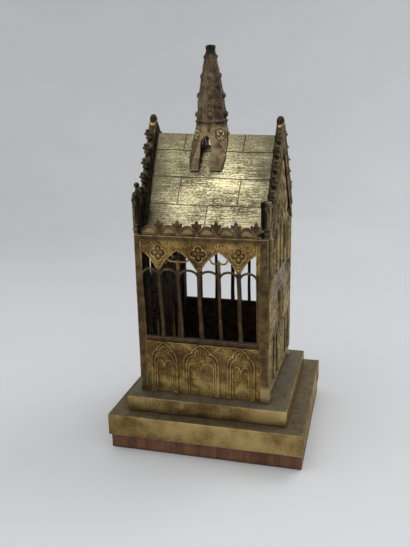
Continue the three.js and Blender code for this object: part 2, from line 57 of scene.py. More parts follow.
def bend(a, b, c, steps):
    """Points along a quadratic curve from a to c, pulled towards b."""
    points = []
    for i in range(steps + 1):
        t = i / steps
        near, pull, far = (1 - t) ** 2, 2 * t * (1 - t), t * t
        points.append(tuple(near * p + pull * q + far * r for p, q, r in zip(a, b, c)))
    return points


def mirrored(points):
    return [(-x, y) for x, y in reversed(points)]


def shifted(points, dx, dy=0.0):
    return [(x + dx, y + dy) for x, y in points]


def area_of(outline):
    return sum(a[0] * b[1] - b[0] * a[1] for a, b in zip(outline, outline[1:] + outline[:1])) / 2


def grown(outline, amount):
    """The outline moved outwards along its corner normals; it runs anticlockwise."""
    count = len(outline)
    result = []
    for i, (x, y) in enumerate(outline):
        px, py = outline[i - 1]
        nx, ny = outline[(i + 1) % count]
        first = Vector((y - py, px - x)).normalized()
        second = Vector((ny - y, x - nx)).normalized()
        normal = first + second
        scale = amount * 2 / max(normal.length_squared, 1.0)
        result.append((x + normal.x * scale, y + normal.y * scale))
    return result


# ---------------------------------------------------------------- solids as (points, faces)


def prism(outline, low, high, bevel=0.0):
    """A flat outline given depth, its upper edge bevelled."""
    ring = outline if area_of(outline) > 0 else outline[::-1]
    layers = [(ring, low), (ring, high - bevel)]
    if bevel:
        layers.append((grown(ring, -bevel), high))
    count = len(ring)
    points = [(x, y, w) for layer, w in layers for x, y in layer]
    faces = [tuple(reversed(range(count)))]
    for k in range(len(layers) - 1):
        for i in range(count):
            j = (i + 1) % count
            faces.append((k * count + i, k * count + j, (k + 1) * count + j, (k + 1) * count + i))
    faces.append(tuple(range((len(layers) - 1) * count, len(layers) * count)))
    return points, faces


def slab(x0, y0, x1, y1, low, high, bevel=0.2):
    return prism([(x0, y0), (x1, y0), (x1, y1), (x0, y1)], low, high, bevel)


def tube(path, radius, sides, closed=False):
    """A round bar along a path; radius is a number or one value a point."""
    path = [Vector(p) for p in path]
    count = len(path)
    radii = radius if isinstance(radius, list) else [radius] * count
    points, faces = [], []
    for i, p in enumerate(path):
        before = path[i - 1] if i or closed else p
        after = path[(i + 1) % count] if i < count - 1 or closed else p
        along = (after - before).normalized()
        across = along.cross(Vector((0, 0, 1)))
        across = across.normalized() if across.length > 0.05 else Vector((1, 0, 0))
        up = across.cross(along)
        for k in range(sides):
            angle = 2 * math.pi * k / sides
            points.append(tuple(p + radii[i] * (math.cos(angle) * across + math.sin(angle) * up)))
    for i in range(count if closed else count - 1):
        a, b = i * sides, ((i + 1) % count) * sides
        for k in range(sides):
            n = (k + 1) % sides
            faces.append((a + n, a + k, b + k, b + n))
    if not closed:
        faces.append(tuple(range(sides)))
        faces.append(tuple(reversed(range((count - 1) * sides, count * sides))))
    return points, faces


def roll(line, w, radius, sides=6, closed=False):
    """A round bar along a flat line, at a depth."""
    return tube([(x, y, w) for x, y in line], radius, sides, closed)


def ball(x, y, w, rx, ry, rw, turn=0.0, segments=10, rings=6):
    """An ellipsoid turned in the drawing plane."""
    c, s = math.cos(math.radians(turn)), math.sin(math.radians(turn))
    points, faces = [], []

    def place(px, py, pw):
        points.append((x + c * px - s * py, y + s * px + c * py, w + pw))

    place(0, 0, -rw)
    for ring in range(1, rings):
        tilt = math.pi * ring / rings
        for k in range(segments):
            angle = 2 * math.pi * k / segments
            reach = math.sin(tilt)
            place(rx * reach * math.cos(angle), ry * reach * math.sin(angle), -rw * math.cos(tilt))
    place(0, 0, rw)
    last = len(points) - 1
    for k in range(segments):
        n = (k + 1) % segments
        faces.append((0, 1 + n, 1 + k))
        faces.append((last, last - segments + k, last - segments + n))
        for ring in range(rings - 2):
            a, b = 1 + ring * segments, 1 + (ring + 1) * segments
            faces.append((a + k, a + n, b + n, b + k))
    return points, faces


def lathed(profile, sides, phase=0.0):
    """A profile of (radius, height), bottom to top, turned about Z and left open at its ends."""
    points, faces = [], []
    for r, z in profile:
        for k in range(sides):
            angle = math.radians(phase) + 2 * math.pi * k / sides
            points.append((r * math.cos(angle), r * math.sin(angle), z))
    for i in range(len(profile) - 1):
        for k in range(sides):
            n = (k + 1) % sides
            a, b = i * sides, (i + 1) * sides
            faces.append((a + k, a + n, b + n, b + k))
    return points, faces


def turned(profile, sides, phase=0.0):
    """A lathed solid, closed at both ends."""
    points, faces = lathed(profile, sides, phase)
    faces.append(tuple(reversed(range(sides))))
    faces.append(tuple(range(len(points) - sides, len(points))))
    return points, faces


def together(*shapes):
    """Shapes that don't touch one another, as one."""
    points, faces = [], []
    for shape_points, shape_faces in shapes:
        base = len(points)
        points.extend(shape_points)
        faces.extend(tuple(base + i for i in face) for face in shape_faces)
    return points, faces


def by_turns(shapes, groups=2):
    """Shapes of which only neighbours touch, shared out so that none touches its group."""
    return [together(*shapes[k::groups]) for k in range(groups)]


def placed(shape, matrix):
    points, faces = shape
    return [tuple(matrix @ Vector(p)) for p in points], faces


def moved(x, y, z):
    return Matrix.Translation((x, y, z))


def spun(degrees, axis="Z"):
    return Matrix.Rotation(math.radians(degrees), 4, axis)


# ---------------------------------------------------------------- meshes


def raw_object(shape, name="scratch"):
    points, faces = shape
    mesh = bpy.data.meshes.new(name)
    mesh.from_pydata(points, [], faces)
    mesh.update()
    made = bpy.data.objects.new(name, mesh)
    bpy.context.scene.collection.objects.link(made)
    return made


def settled(made):
    """Applies the object's modifiers."""
    bpy.context.view_layer.update()
    depsgraph = bpy.context.evaluated_depsgraph_get()
    mesh = bpy.data.meshes.new_from_object(made.evaluated_get(depsgraph))
    made.modifiers.clear()
    made.data = mesh
    return made


def carved(base, steps):
    """Joins and cuts solids in order: steps are (UNION, DIFFERENCE or INTERSECT, shape)."""
    made = raw_object(base) if isinstance(base, tuple) else base
    tools = []
    for operation, shape in steps:
        tool = raw_object(shape)
        tools.append(tool)
        cut = made.modifiers.new("step", "BOOLEAN")
        cut.operation = operation
        cut.solver = "MANIFOLD"
        cut.object = tool
    settled(made)
    for tool in tools:
        bpy.data.objects.remove(tool)
    if not made.data.polygons:
        raise RuntimeError("a solid came out empty")
    return made


def added(*shapes):
    return [("UNION", shape) for shape in shapes]


def cut_away(*shapes):
    return [("DIFFERENCE", shape) for shape in shapes]


def fused(made, voxel, passes, kept):
    """Makes a casting: overlapping shapes grow together, soften and lose needless faces."""
    remesh = made.modifiers.new("remesh", "REMESH")
    remesh.mode = "VOXEL"
    remesh.voxel_size = voxel
    soften = made.modifiers.new("soften", "SMOOTH")
    soften.iterations = passes
    thin = made.modifiers.new("thin", "DECIMATE")
    thin.ratio = kept
    return settled(made)


def sliced(made, axis, places):
    """Adds edges across a mesh at the given places along an axis, so that it can bend there."""
    work = bmesh.new()
    work.from_mesh(made.data)
    normal = [0, 0, 0]
    normal[axis] = 1
    for place in places:
        where = [0, 0, 0]
        where[axis] = place
        everything = work.verts[:] + work.edges[:] + work.faces[:]
        bmesh.ops.bisect_plane(work, geom=everything, plane_co=where, plane_no=normal)
    work.to_mesh(made.data)
    work.free()
    return made


def moved_points(made, change):
    for vertex in made.data.vertices:
        vertex.co = change(vertex.co)
    made.data.update()
    return made


def wobble(made, size, amount, seed):
    """A slow unevenness of a hand-made surface: size in mm between swells."""
    offset = Vector((seed * 17.3, seed * 5.1, seed * 9.7))
    return moved_points(made, lambda p: p + noise.noise_vector(p / size + offset) * amount)


def merged(made, *others):
    """Joins finished meshes into one object, as separate closed shells."""
    work = bmesh.new()
    work.from_mesh(made.data)
    for other in others:
        work.from_mesh(other.data)
        bpy.data.objects.remove(other)
    work.to_mesh(made.data)
    work.free()
    return made


def piece(made, name, matrix, finish, node, inside=None, angle=32):
    """Turns a mesh in millimetres into a finished piece that stands for a CAD node."""
    mesh = made.data
    mesh.materials.clear()
    mesh.materials.append(finish)
    if inside:
        mesh.materials.append(inside)
        # Faces that look inwards near the inner face take the inside finish, a near-black painted shade.
        for face in mesh.polygons:
            face.material_index = 1 if face.normal.z < -0.6 and face.center.z < 0.6 else 0
    mesh.transform(Matrix.Scale(MM, 4))
    mesh.polygons.foreach_set("use_smooth", [True] * len(mesh.polygons))
    mesh.set_sharp_from_angle(angle=math.radians(angle))
    mesh.update()
    made.name = name
    mesh.name = name
    made.matrix_world = matrix
    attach(made, "root")
    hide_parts(node)


# ---------------------------------------------------------------- where things stand, as in the CAD

CHAPEL = moved(-2.5 * MM, 1.8 * MM, 0) @ spun(-1.164)
FLOOR, EAVES, RIDGE, EAVES_Y = 35.2, 139.0, 197.2, 41.0
ROOF_ANGLE = math.atan2(RIDGE - EAVES, EAVES_Y)
SLOPE = math.hypot(RIDGE - EAVES, EAVES_Y)
WALL_PLANE, GABLE_PLANE, CRESTING_PLANE = 40.3, 38.6, 41.1
ROOF_SHEET = 1.0


def wall_matrix(azimuth, distance):
    """Stands a wall up: drawn x along it, y up and z outwards."""
    return CHAPEL @ spun(azimuth) @ moved(0, -distance * MM, 0) @ spun(90, "X")


def roof_matrix(azimuth):
    """Lays a sheet on the slope: drawn x along the eaves, y up the slope and z outwards."""
    y = -EAVES_Y + ROOF_SHEET * math.sin(ROOF_ANGLE)
    z = EAVES - ROOF_SHEET * math.cos(ROOF_ANGLE)
    return CHAPEL @ spun(azimuth) @ moved(0, y * MM, z * MM) @ Matrix.Rotation(ROOF_ANGLE, 4, "X")


# How far the left gable is bowed in, by height, and how much its peak has been pulled up.
LEFT_LEAN = [(35.2, 0.0), (140.0, 3.6), (197.2, -1.0), (211.0, -0.9)]
LEFT_RISE = 1.9
RIDGE_END = 38


def ridge_rise(height, x):
    """The ridge climbs a little towards the left gable."""
    return LEFT_RISE * max(0.0, (height - EAVES) / (RIDGE - EAVES)) * (RIDGE_END - x) / (2 * RIDGE_END)


def along(stations, value):
    """Reads a line of (place, value) stations."""
    for (x0, y0), (x1, y1) in zip(stations, stations[1:]):
        if value <= x1:
            break
    return y0 + (y1 - y0) * (value - x0) / (x1 - x0)


# ---------------------------------------------------------------- finishes


class Nodes:
    """Short ways to lay out a material's nodes; texture sizes are in millimetres."""

    def __init__(self, name):
        self.material = bpy.data.materials.new(name)
        self.material.use_nodes = True
        self.tree = self.material.node_tree
        self.tree.nodes.clear()
        output = self.add("OutputMaterial")
        self.shader = self.add("BsdfPrincipled")
        self.tree.links.new(self.shader.outputs[0], output.inputs[0])
        place = self.value("TexCoord", {}, "Object")
        self.place = self.value("Mapping", {"Vector": place, "Scale": (1 / MM, 1 / MM, 1 / MM)})

    def add(self, kind, inputs=None, **settings):
        node = self.tree.nodes.new("ShaderNode" + kind)
        for key, value in settings.items():
            setattr(node, key, value)
        for key, value in (inputs or {}).items():
            self.feed(node.inputs[key], value)
        return node

    def feed(self, socket, value):
        if isinstance(value, bpy.types.NodeSocket):
            self.tree.links.new(value, socket)
        else:
            socket.default_value = value

    def value(self, kind, inputs, output=0, **settings):
        return self.add(kind, inputs, **settings).outputs[output]

    def set(self, **sockets):
        """Sets the shader's own inputs."""
        names = {"colour": "Base Color", "rough": "Roughness", "metal": "Metallic"}
        for key, value in sockets.items():
            self.feed(self.shader.inputs[names.get(key, key)], value)

    def noise(self, size, detail=3.0, rough=0.55, stretch=(1, 1, 1), seed=0.0, warp=0.0):
        """Soft noise whose swells are about that many mm apart."""
        where = {"Scale": tuple(s / size for s in stretch), "Location": (seed, seed * 1.7, seed * 0.6)}
        look = {"Scale": 1.0, "Detail": detail, "Roughness": rough, "Distortion": warp}
        mapped = self.value("Mapping", {"Vector": self.place, **where})
        return self.value("TexNoise", {"Vector": mapped, **look})

    def ramp(self, factor, *tones):
        """Colours, or plain levels, spread evenly over a factor from 0 to 1."""
        node = self.add("ValToRGB", {0: factor})
        items = node.color_ramp.elements
        while len(items) < len(tones):
            items.new(0.5)
        for i, tone in enumerate(tones):
            items[i].position = i / (len(tones) - 1)
            items[i].color = (*tone, 1) if isinstance(tone, tuple) else (tone, tone, tone, 1)
        return node.outputs[0]

    def span(self, value, low, high, to_low=0.0, to_high=1.0):
        """Maps a value's range to another, clamped and eased."""
        inputs = {"Value": value, "From Min": low, "From Max": high, "To Min": to_low, "To Max": to_high}
        return self.value("MapRange", inputs, interpolation_type="SMOOTHSTEP")

    def math(self, operation, a, b=0.0, clamp=False):
        return self.value("Math", {0: a, 1: b}, operation=operation, use_clamp=clamp)

    def chain(self, operation, values):
        total = values[0]
        for value in values[1:]:
            total = self.math(operation, total, value)
        return total

    def times(self, *values):
        return self.chain("MULTIPLY", values)

    def plus(self, *values):
        return self.chain("ADD", values)

    def largest(self, *values):
        return self.chain("MAXIMUM", values)

    def minus(self, a, b):
        return self.math("SUBTRACT", a, b)

    def size(self, value):
        """A value without its sign."""
        return self.math("ABSOLUTE", value)

    def blend(self, *parts):
        """The sum of values, each with its share."""
        return self.plus(*[self.times(value, share) for value, share in parts])

    def mix(self, factor, a, b, blend="MIX"):
        a, b = ((*value, 1) if isinstance(value, tuple) else value for value in (a, b))
        return self.value("Mix", {0: factor, 6: a, 7: b}, 2, data_type="RGBA", blend_type=blend)

    def coats(self, colour, *layers):
        """Lays tones over a colour: each layer is (mask, strength, tone)."""
        for mask, strength, tone in layers:
            colour = self.mix(self.times(mask, strength), colour, tone)
        return colour

    def axis(self, index):
        return self.value("SeparateXYZ", {0: self.place}, index)

    def upward(self):
        """1 on faces that lie level and look up, 0 on steep ones."""
        normal = self.value("NewGeometry", {}, "Normal")
        return self.span(self.value("SeparateXYZ", {0: normal}, 2), 0.6, 0.95)

    def spot(self, x, y, radius, axes=(0, 1), squash=1.0):
        """A soft round patch on the plane of two axes."""
        dx = self.minus(self.axis(axes[0]), x)
        dy = self.times(self.minus(self.axis(axes[1]), y), squash)
        reach = self.math("SQRT", self.plus(self.times(dx, dx), self.times(dy, dy)))
        return self.span(reach, radius * 0.35, radius, 1.0, 0.0)

    def cavity(self, distance, **settings):
        """1 on open faces, less in hollows up to that many mm deep."""
        return self.value("AmbientOcclusion", {"Distance": distance * MM}, "AO", samples=4, **settings)

    def edges(self, distance):
        """1 along outer edges."""
        return self.span(self.cavity(distance, inside=True), 0.95, 0.55)

    def bump(self, height, depth, strength, before=None):
        inputs = {"Height": height, "Distance": depth * MM, "Strength": strength}
        if before is not None:
            inputs["Normal"] = before
        return self.value("Bump", inputs)


# Every patinated tone is taken down and warmed by this much.
AGED = (0.76, 0.74, 0.70)
# Dark tone laid in hollows: dirt there, and also painted shade where the hollows lie in shade.
DIRT_AND_SHADE = (0.020, 0.013, 0.007)
DUST = (0.150, 0.138, 0.115)


def patina(name, tones, seed, extra, wear_and_highlight, grime_and_shade=0.9, dust=0.0, pits=1.0,
           inner_shade=False, even=False, calm=None):
    """Old brass: clouded tones, dirt and painted shade in the hollows, rubbed edges with a painted
    highlight, dust on top.

    Extra lays the piece's own zones over the clouds. A flag lays a near-black painted shade over what lies
    near a wall's inner face, calm is a band of heights where the edges are less rubbed and less
    highlighted, and even makes the small clouds weaker than the large ones.
    """
    n = Nodes(name)
    dark, mid, light = tones
    cloud = n.noise(26, 2, seed=seed)
    patch = n.noise(5.5, 4, 0.62, seed=seed + 3, warp=0.4)
    speck = n.noise(1.1, 3, 0.6, seed=seed + 7)
    shares = (0.58, 0.18, 0.24) if even else (0.38, 0.30, 0.32)
    level = n.blend(*zip((cloud, patch, speck), shares))
    colour = extra(n, n.ramp(n.span(level, 0.36, 0.64), dark, mid, light), patch)
    # Hollows darken towards the dark tone: partly dirt, partly painted shade.
    hollow = n.times(n.span(n.cavity(2.0), 0.92, 0.38), n.span(patch, 0.2, 0.6, 0.75, 1.0), grime_and_shade)
    # Outer edges lighten: partly rubbed brass, partly a painted highlight standing in for the glint on
    # bevelled edges.
    edge = n.times(n.edges(0.7), n.span(patch, 0.35, 0.65, 0.35, 1.0), wear_and_highlight)
    if calm:
        low, high = calm
        within = n.times(n.span(n.axis(1), low, low + 0.6), n.span(n.axis(1), high, high - 2))
        edge = n.times(edge, n.minus(1.0, n.times(within, 0.75)))
    # The pale edge tone stands for rubbed brass and a painted highlight together.
    bright = tuple(min(1.0, c * 1.7 + 0.03) for c in light)
    colour = n.mix(edge, n.mix(hollow, colour, DIRT_AND_SHADE), bright)
    colour = n.mix(1.0, colour, AGED, "MULTIPLY")
    metal = n.minus(0.96, n.times(hollow, 0.6))
    roughness = n.minus(n.span(level, 0.35, 0.65, 0.60, 0.30), n.times(edge, 0.12))
    # Painted shade: near black towards the wall's inner face, where the inside lies in shade.
    if inner_shade:
        colour = n.mix(n.span(n.axis(2), 1.2, 0.3), colour, (0.010, 0.007, 0.004))
    if dust:
        film = n.span(n.noise(7, 4, 0.6, seed=seed + 11), 0.3, 0.62, dust * 0.45, dust)
        film = n.times(n.upward(), film)
        colour = n.mix(film, colour, DUST)
        metal = n.math("SUBTRACT", metal, film, clamp=True)
        roughness = n.math("ADD", roughness, n.times(film, 0.3), clamp=True)
    n.set(colour=colour, rough=roughness, metal=metal)
    normal = n.bump(n.blend((patch, 0.6), (speck, 0.4)), 0.35 * pits, 0.55)
    n.set(Normal=n.bump(n.noise(0.35, 2, 0.6, seed=seed + 5), 0.05 * pits, 0.5, normal))
    return n.material


def front_zones(n, colour, patch):
    """Brown borders and bars, golden fields, rubbed feet and a little green at the lower left."""
    x, y = n.axis(0), n.axis(1)
    side = n.span(n.size(x), 36.4, 36.9)
    rail = n.span(y, 135.2, 135.6)
    bars = n.times(n.span(y, 69.8, 70.4), n.span(y, 119.5, 117.0))
    brown = n.ramp(n.span(patch, 0.3, 0.7), (0.070, 0.045, 0.023), (0.170, 0.116, 0.062))
    rods = n.times(bars, n.span(n.size(x), 36.2, 35.4))
    colour = n.coats(colour, (n.largest(side, rail, bars), 0.9, brown), (rods, 0.6, (0.050, 0.034, 0.020)))
    for spot in ((-14, 61, 8), (11, 61, 8), (14, 50, 6), (-37, 70, 9), (2, 50, 7)):
        colour = n.coats(colour, (n.spot(*spot), 0.62, (0.13, 0.063, 0.033)))
    for spot in ((-25, 41, 7), (-0.5, 41, 11), (25, 41, 7), (-13, 42, 5), (12, 42, 5)):
        field = n.times(n.spot(*spot), n.span(patch, 0.35, 0.6, 0.2, 1.0))
        colour = n.coats(colour, (field, 0.7, (0.66, 0.48, 0.20)))
    return n.coats(
        colour,
        (n.times(n.span(x, 36.6, 37.4), n.span(y, 48, 43)), 0.8, (0.62, 0.50, 0.24)),
        (n.times(n.spot(-36, 38, 14), n.span(patch, 0.4, 0.6)), 0.6, (0.13, 0.14, 0.065)),
    )


def top_shade_zones(n, colour, patch):
    """Level faces are painted darker and greyer than upright ones: painted shade for how the light falls on
    them.
    """
    n.shader.inputs["Specular Tint"].default_value = (0.70, 0.60, 0.44, 1)
    # Painted shade: level faces take a darker, greyer tone for how the light falls on them.
    top_shade = n.ramp(n.span(patch, 0.3, 0.7), (0.100, 0.070, 0.034), (0.210, 0.165, 0.088))
    return n.coats(colour, (n.upward(), 0.85, top_shade))


def step_zones(n, colour, patch):
    """Blotches left by handling on the front face, and the face lighter towards its right end."""
    front = n.span(n.axis(1), -49.0, -49.5)
    colour = top_shade_zones(n, colour, patch)
    for spot in ((-18, 31, 13), (-2, 26, 6), (16, 25, 7)):
        blotch = n.times(n.spot(*spot, (0, 2), 1.6), front, n.span(patch, 0.3, 0.5))
        colour = n.coats(colour, (blotch, 0.75, (0.10, 0.055, 0.028)))
    # The right end of the front face is lighter.
    lighter_right_end = n.times(n.spot(42, 31, 22, (0, 2)), front)
    return n.coats(colour, (lighter_right_end, 0.75, (0.70, 0.52, 0.22)))


def gable_zones(n, colour, patch):
    """The border and its leaves are darker than the wall."""
    x = n.times(n.size(n.axis(0)), math.sin(ROOF_ANGLE))
    y = n.times(n.minus(n.axis(1), RIDGE), math.cos(ROOF_ANGLE))
    above = n.plus(x, y)
    dark = n.ramp(n.span(patch, 0.3, 0.7), (0.040, 0.028, 0.017), (0.115, 0.083, 0.050))
    return n.coats(
        colour,
        (n.span(above, -3.6, -2.6), 0.9, dark),
        (n.span(above, 4.4, 5.4), 0.65, (0.034, 0.029, 0.019)),
    )


def cresting_zones(n, colour, patch):
    """Gold shows on the thin plates inside the arcs."""
    plate = n.times(n.span(n.axis(2), 0.74, 0.64), n.span(patch, 0.25, 0.5))
    return n.coats(colour, (plate, 0.85, (0.46, 0.35, 0.17)))


def spire_zones(n, colour, patch):
    """A painted highlight down the front middle, nearly black at the broken tip, bright gold lobes with a
    painted highlight on the collar, and a painted shadow at the feet of its legs.
    """
    x, y, z = n.size(n.axis(0)), n.axis(1), n.axis(2)
    # Painted highlight: paler down the front middle of the spire, facing the light.
    middle = n.times(n.span(y, -2, -8), n.span(x, 6.5, 1.5), n.span(patch, 0.3, 0.6))
    collar = n.times(n.span(z, 203.5, 200), n.span(z, 178, 193, 0.3, 1.0), n.span(patch, 0.25, 0.55))
    offsets = n.minus(x, 7.6), n.minus(n.size(y), 7.6), n.minus(z, 196.6)
    reach = n.plus(*[n.times(offset, offset) for offset in offsets])
    # The collar's lobes take a bright gold where they are open: their golden tone with a painted highlight.
    lobes = n.times(n.span(reach, 12, 9), n.span(n.cavity(1.2), 0.68, 0.92))
    return n.coats(
        colour,
        (middle, 0.6, (0.36, 0.265, 0.165)),
        (collar, 0.85, (0.54, 0.405, 0.22)),
        (n.span(reach, 19, 14), 0.75, (0.050, 0.034, 0.018)),
        (lobes, 0.9, (0.85, 0.68, 0.38)),
        # Painted shadow: darker at the feet of the legs, where they stand on the roof.
        (n.span(z, 176.6, 174.4), 0.8, (0.040, 0.029, 0.018)),
        (n.span(z, 241, 246.5), 0.9, (0.022, 0.026, 0.019)),
    )


def roof_brass(name, seed):
    """Pale brass, brushed along the ridge, spotted and scratched, with a painted highlight in the middle
    and painted shade towards the ends and the ridge.
    """
    n = Nodes(name)
    cloud = n.noise(24, 2, seed=seed)
    brush = n.noise(0.8, 3, 0.7, (0.07, 2.2, 1), seed + 2, 0.15)
    spots = n.noise(1.0, 3, 0.7, (0.7, 1.2, 1), seed + 4)
    level = n.blend((cloud, 0.30), (brush, 0.38), (spots, 0.32))
    tones = (0.050, 0.041, 0.022), (0.160, 0.139, 0.080), (0.40, 0.36, 0.215)
    groove = n.span(n.cavity(1.2), 0.97, 0.72)
    # Painted highlight: a bright patch in the middle of the sheet, where the lamp is reflected.
    rubbed = n.times(n.spot(6, 25, 40, squash=1.1), n.span(level, 0.44, 0.60))
    freckles = n.span(n.noise(0.9, 2, 0.6, seed=seed + 9), 0.60, 0.68)
    colour = n.coats(
        n.ramp(n.span(level, 0.38, 0.62), *tones),
        # Painted shade towards both ends of the sheet, away from the highlight.
        (n.span(n.size(n.axis(0)), 12, 38), 0.65, (0.085, 0.075, 0.046)),
        (rubbed, 0.7, (0.66, 0.60, 0.36)),
        (freckles, 0.6, (0.10, 0.066, 0.040)),
        # Painted shade towards the ridge.
        (n.span(n.axis(1), 50, 66), 0.55, (0.115, 0.102, 0.062)),
        (groove, 0.9, (0.030, 0.022, 0.011)),
        (n.spot(19.5, 7.5, 4.2), 0.6, (0.30, 0.31, 0.33)),
    )
    n.set(colour=colour, rough=n.span(level, 0.36, 0.62, 0.36, 0.24))
    n.set(metal=n.minus(0.97, n.times(groove, 0.6)))
    flat = n.span(n.noise(0.5, 2, 0.5, (0.08, 2.4, 1), seed + 6, 1.2), 0.62, 0.70)
    steep = n.span(n.noise(0.5, 2, 0.5, (2.6, 0.10, 1), seed + 8, 0.9), 0.64, 0.72)
    relief = n.minus(n.plus(brush, n.times(spots, 0.8)), n.largest(flat, steep))
    n.set(Normal=n.bump(n.noise(11, 2, seed=seed + 1), 0.7, 0.3, n.bump(relief, 0.07, 0.4)))
    return n.material


def mahogany(name):
    """Reddish wood: grain along the board, vertical figure across its edge."""
    n = Nodes(name)
    figure = n.noise(5.5, 3, 0.6, (1, 1, 0.12), 2.0, 0.8)
    grain = n.noise(1.0, 4, 0.65, (0.25, 0.25, 2.2), 5.0, 0.4)
    pores = n.span(n.noise(0.55, 2, 0.6, (0.5, 0.5, 1.6), 8.0), 0.58, 0.70)
    level = n.blend((figure, 0.62), (grain, 0.38))
    tones = (0.068, 0.022, 0.008), (0.148, 0.050, 0.017), (0.215, 0.088, 0.033)
    colour = n.coats(
        n.ramp(n.span(level, 0.34, 0.66), *tones),
        (pores, 0.6, (0.040, 0.014, 0.008)),
        # Painted shade: darker in hollows and next to the brass that stands on the board.
        (n.span(n.cavity(3.0), 0.95, 0.4), 0.7, (0.020, 0.008, 0.005)),
    )
    n.set(colour=colour, rough=n.span(level, 0.3, 0.7, 0.62, 0.46), metal=0.0)
    n.set(Normal=n.bump(n.minus(grain, n.times(pores, 0.7)), 0.12, 0.5))
    return n.material


def painted_inside_shade(name):
    """The dark, unpolished inside of the walls: a near-black painted shade."""
    n = Nodes(name)
    patch = n.noise(6, 4, 0.6)
    n.set(colour=n.ramp(n.span(patch, 0.3, 0.7), (0.007, 0.004, 0.002), (0.045, 0.027, 0.010)))
    n.set(rough=n.span(patch, 0.3, 0.7, 0.95, 0.75), metal=0.0, Normal=n.bump(patch, 0.2, 0.4))
    n.shader.inputs["Specular IOR Level"].default_value = 0.15
    return n.material


# Dark, middle and light tone of each metal.
GOLD = (0.100, 0.054, 0.017), (0.26, 0.160, 0.053), (0.60, 0.41, 0.145)
BROWN = (0.060, 0.038, 0.019), (0.145, 0.098, 0.050), (0.32, 0.23, 0.12)
BRONZE = (0.040, 0.029, 0.018), (0.120, 0.086, 0.053), (0.30, 0.225, 0.14)
LID = (0.190, 0.122, 0.048), (0.42, 0.296, 0.120), (0.64, 0.480, 0.205)
WEATHERED = (0.060, 0.039, 0.018), (0.205, 0.145, 0.064), (0.52, 0.39, 0.18)

# Near-black painted shade for the walls' inner faces.
INSIDE_SHADE = painted_inside_shade("inner_painted_shade")
WALL = {"extra": front_zones, "wear_and_highlight": 0.95, "grime_and_shade": 1.0, "dust": 0.3, "inner_shade": True, "calm": (71, 119)}
FRONT = patina("front_brass", GOLD, 1.0, **WALL)
BACK = patina("back_brass", GOLD, 5.0, **WALL)
SIDE = patina("gable_brass", WEATHERED, 9.0, gable_zones, 0.7, grime_and_shade=1.0, dust=0.75, inner_shade=True)
CREST = patina("cresting_bronze", BROWN, 13.0, cresting_zones, 0.4, grime_and_shade=0.7)
SPIRE = patina("fleche_bronze", BRONZE, 17.0, spire_zones, 0.45, pits=1.8)
PLINTH = patina("plinth_brass", LID, 21.0, top_shade_zones, 0.7, grime_and_shade=0.85, dust=0.4, pits=0.6, even=True)
STEP = patina("step_brass", LID, 25.0, step_zones, 0.7, grime_and_shade=0.85, dust=0.6, pits=0.7, even=True)
ROOF_FRONT = roof_brass("roof_brass_front", 2.0)
ROOF_BACK = roof_brass("roof_brass_back", 31.0)
WOOD = mahogany("mahogany")

# ---------------------------------------------------------------- base


def soft_box(width, depth, bottom, top, radius, cells, waviness, seed):
    """A box with rounded edges and slightly uneven faces."""
    work = bmesh.new()
    bmesh.ops.create_cube(work, size=1.0)
    made = raw_object(([], []))
    work.to_mesh(made.data)
    work.free()
    middle, height = (bottom + top) / 2, top - bottom
    moved_points(made, lambda p: Vector((p.x * width, p.y * depth, middle + p.z * height)))
    rounding = made.modifiers.new("edge", "BEVEL")
    rounding.width = radius
    rounding.segments = 3
    settled(made)
    for axis, size in ((0, width), (1, depth)):
        sliced(made, axis, [size * (i / cells - 0.5) for i in range(1, cells)])
    sliced(made, 2, [bottom + (top - bottom) * i / 3 for i in (1, 2)])

    def uneven(p):
        push = noise.noise_vector(p / 21 + Vector((seed, seed, seed))) * waviness
        fine = noise.noise_vector(p / 4.5 + Vector((seed * 3, 0, 0))) * waviness * 0.35
        inward = Vector((-p.x / width, -p.y / depth, 0)) * waviness
        return p + push + fine + inward

    return moved_points(made, uneven)


def folded_lid(width, depth, bottom, top, sheet, seed):
    """Sheet brass folded over the board, open underneath."""
    spare = 0.3
    outer = soft_box(width - spare, depth - spare, bottom, top, 0.5, 22, 0.14, seed)
    x, y = width / 2 - sheet, depth / 2 - sheet
    return carved(outer, cut_away(slab(-x, -y, x, y, bottom - 3, top - sheet, 0)))


def plinth():
    made = folded_lid(width=124.8, depth=116, bottom=10.5, top=24.7, sheet=1.0, seed=3.0)
    hole = turned([(0.85, -2.0), (0.95, -0.15), (1.25, 0.2)], 12)
    holes = [placed(hole, moved(x, y, 24.7)) for x, y in ((54.7, 41.7), (54.1, -42.9))]
    line = tube([(51.6, -4.2, 24.75), (54, -4.8, 24.7), (57.4, -4.9, 24.75)], [0.06, 0.2, 0.06], 6)
    nick = tube([(-2.9, -58.05, 21.4), (-1.6, -57.95, 18.6), (0.2, -58.05, 15.8)], [0.08, 0.24, 0.08], 6)
    carved(made, cut_away(*holes, line, nick))
    piece(made, "plinth_brass", Matrix.Identity(4), PLINTH, "plinth_cover")


def step():
    made = folded_lid(width=103.2, depth=99.4, bottom=25.0, top=34.9, sheet=1.2, seed=8.0)
    piece(made, "step_brass", Matrix.Identity(4), STEP, "upper_step")


def board():
    made = soft_box(123.2, 109.8, 0.15, 10.15, radius=0.6, cells=12, waviness=0.08, seed=5.0)
    carved(made, added(slab(-61.1, -55, 61.1, 55, 8.2, 23.4, 0.4)))
    piece(made, "wooden_board", Matrix.Identity(4), WOOD, "wood_base")


# ---------------------------------------------------------------- front and back walls

# The windows: bay width, half opening, sill, foot and top of the pointed arches.
PITCH, JAMB, SILL, V_FOOT, APEX = 12.4, 36.2, 73.9, 118.5, 130.3
ROSE_HEIGHT = 128.3
# The blind arches below: centre, half width, half width of the neck.
SHOULDER = 56.8
DADO_ARCHES = ((-25.2, 7.3, 3.5), (-0.8, 10.4, 4.5), (24.8, 7.4, 3.5))


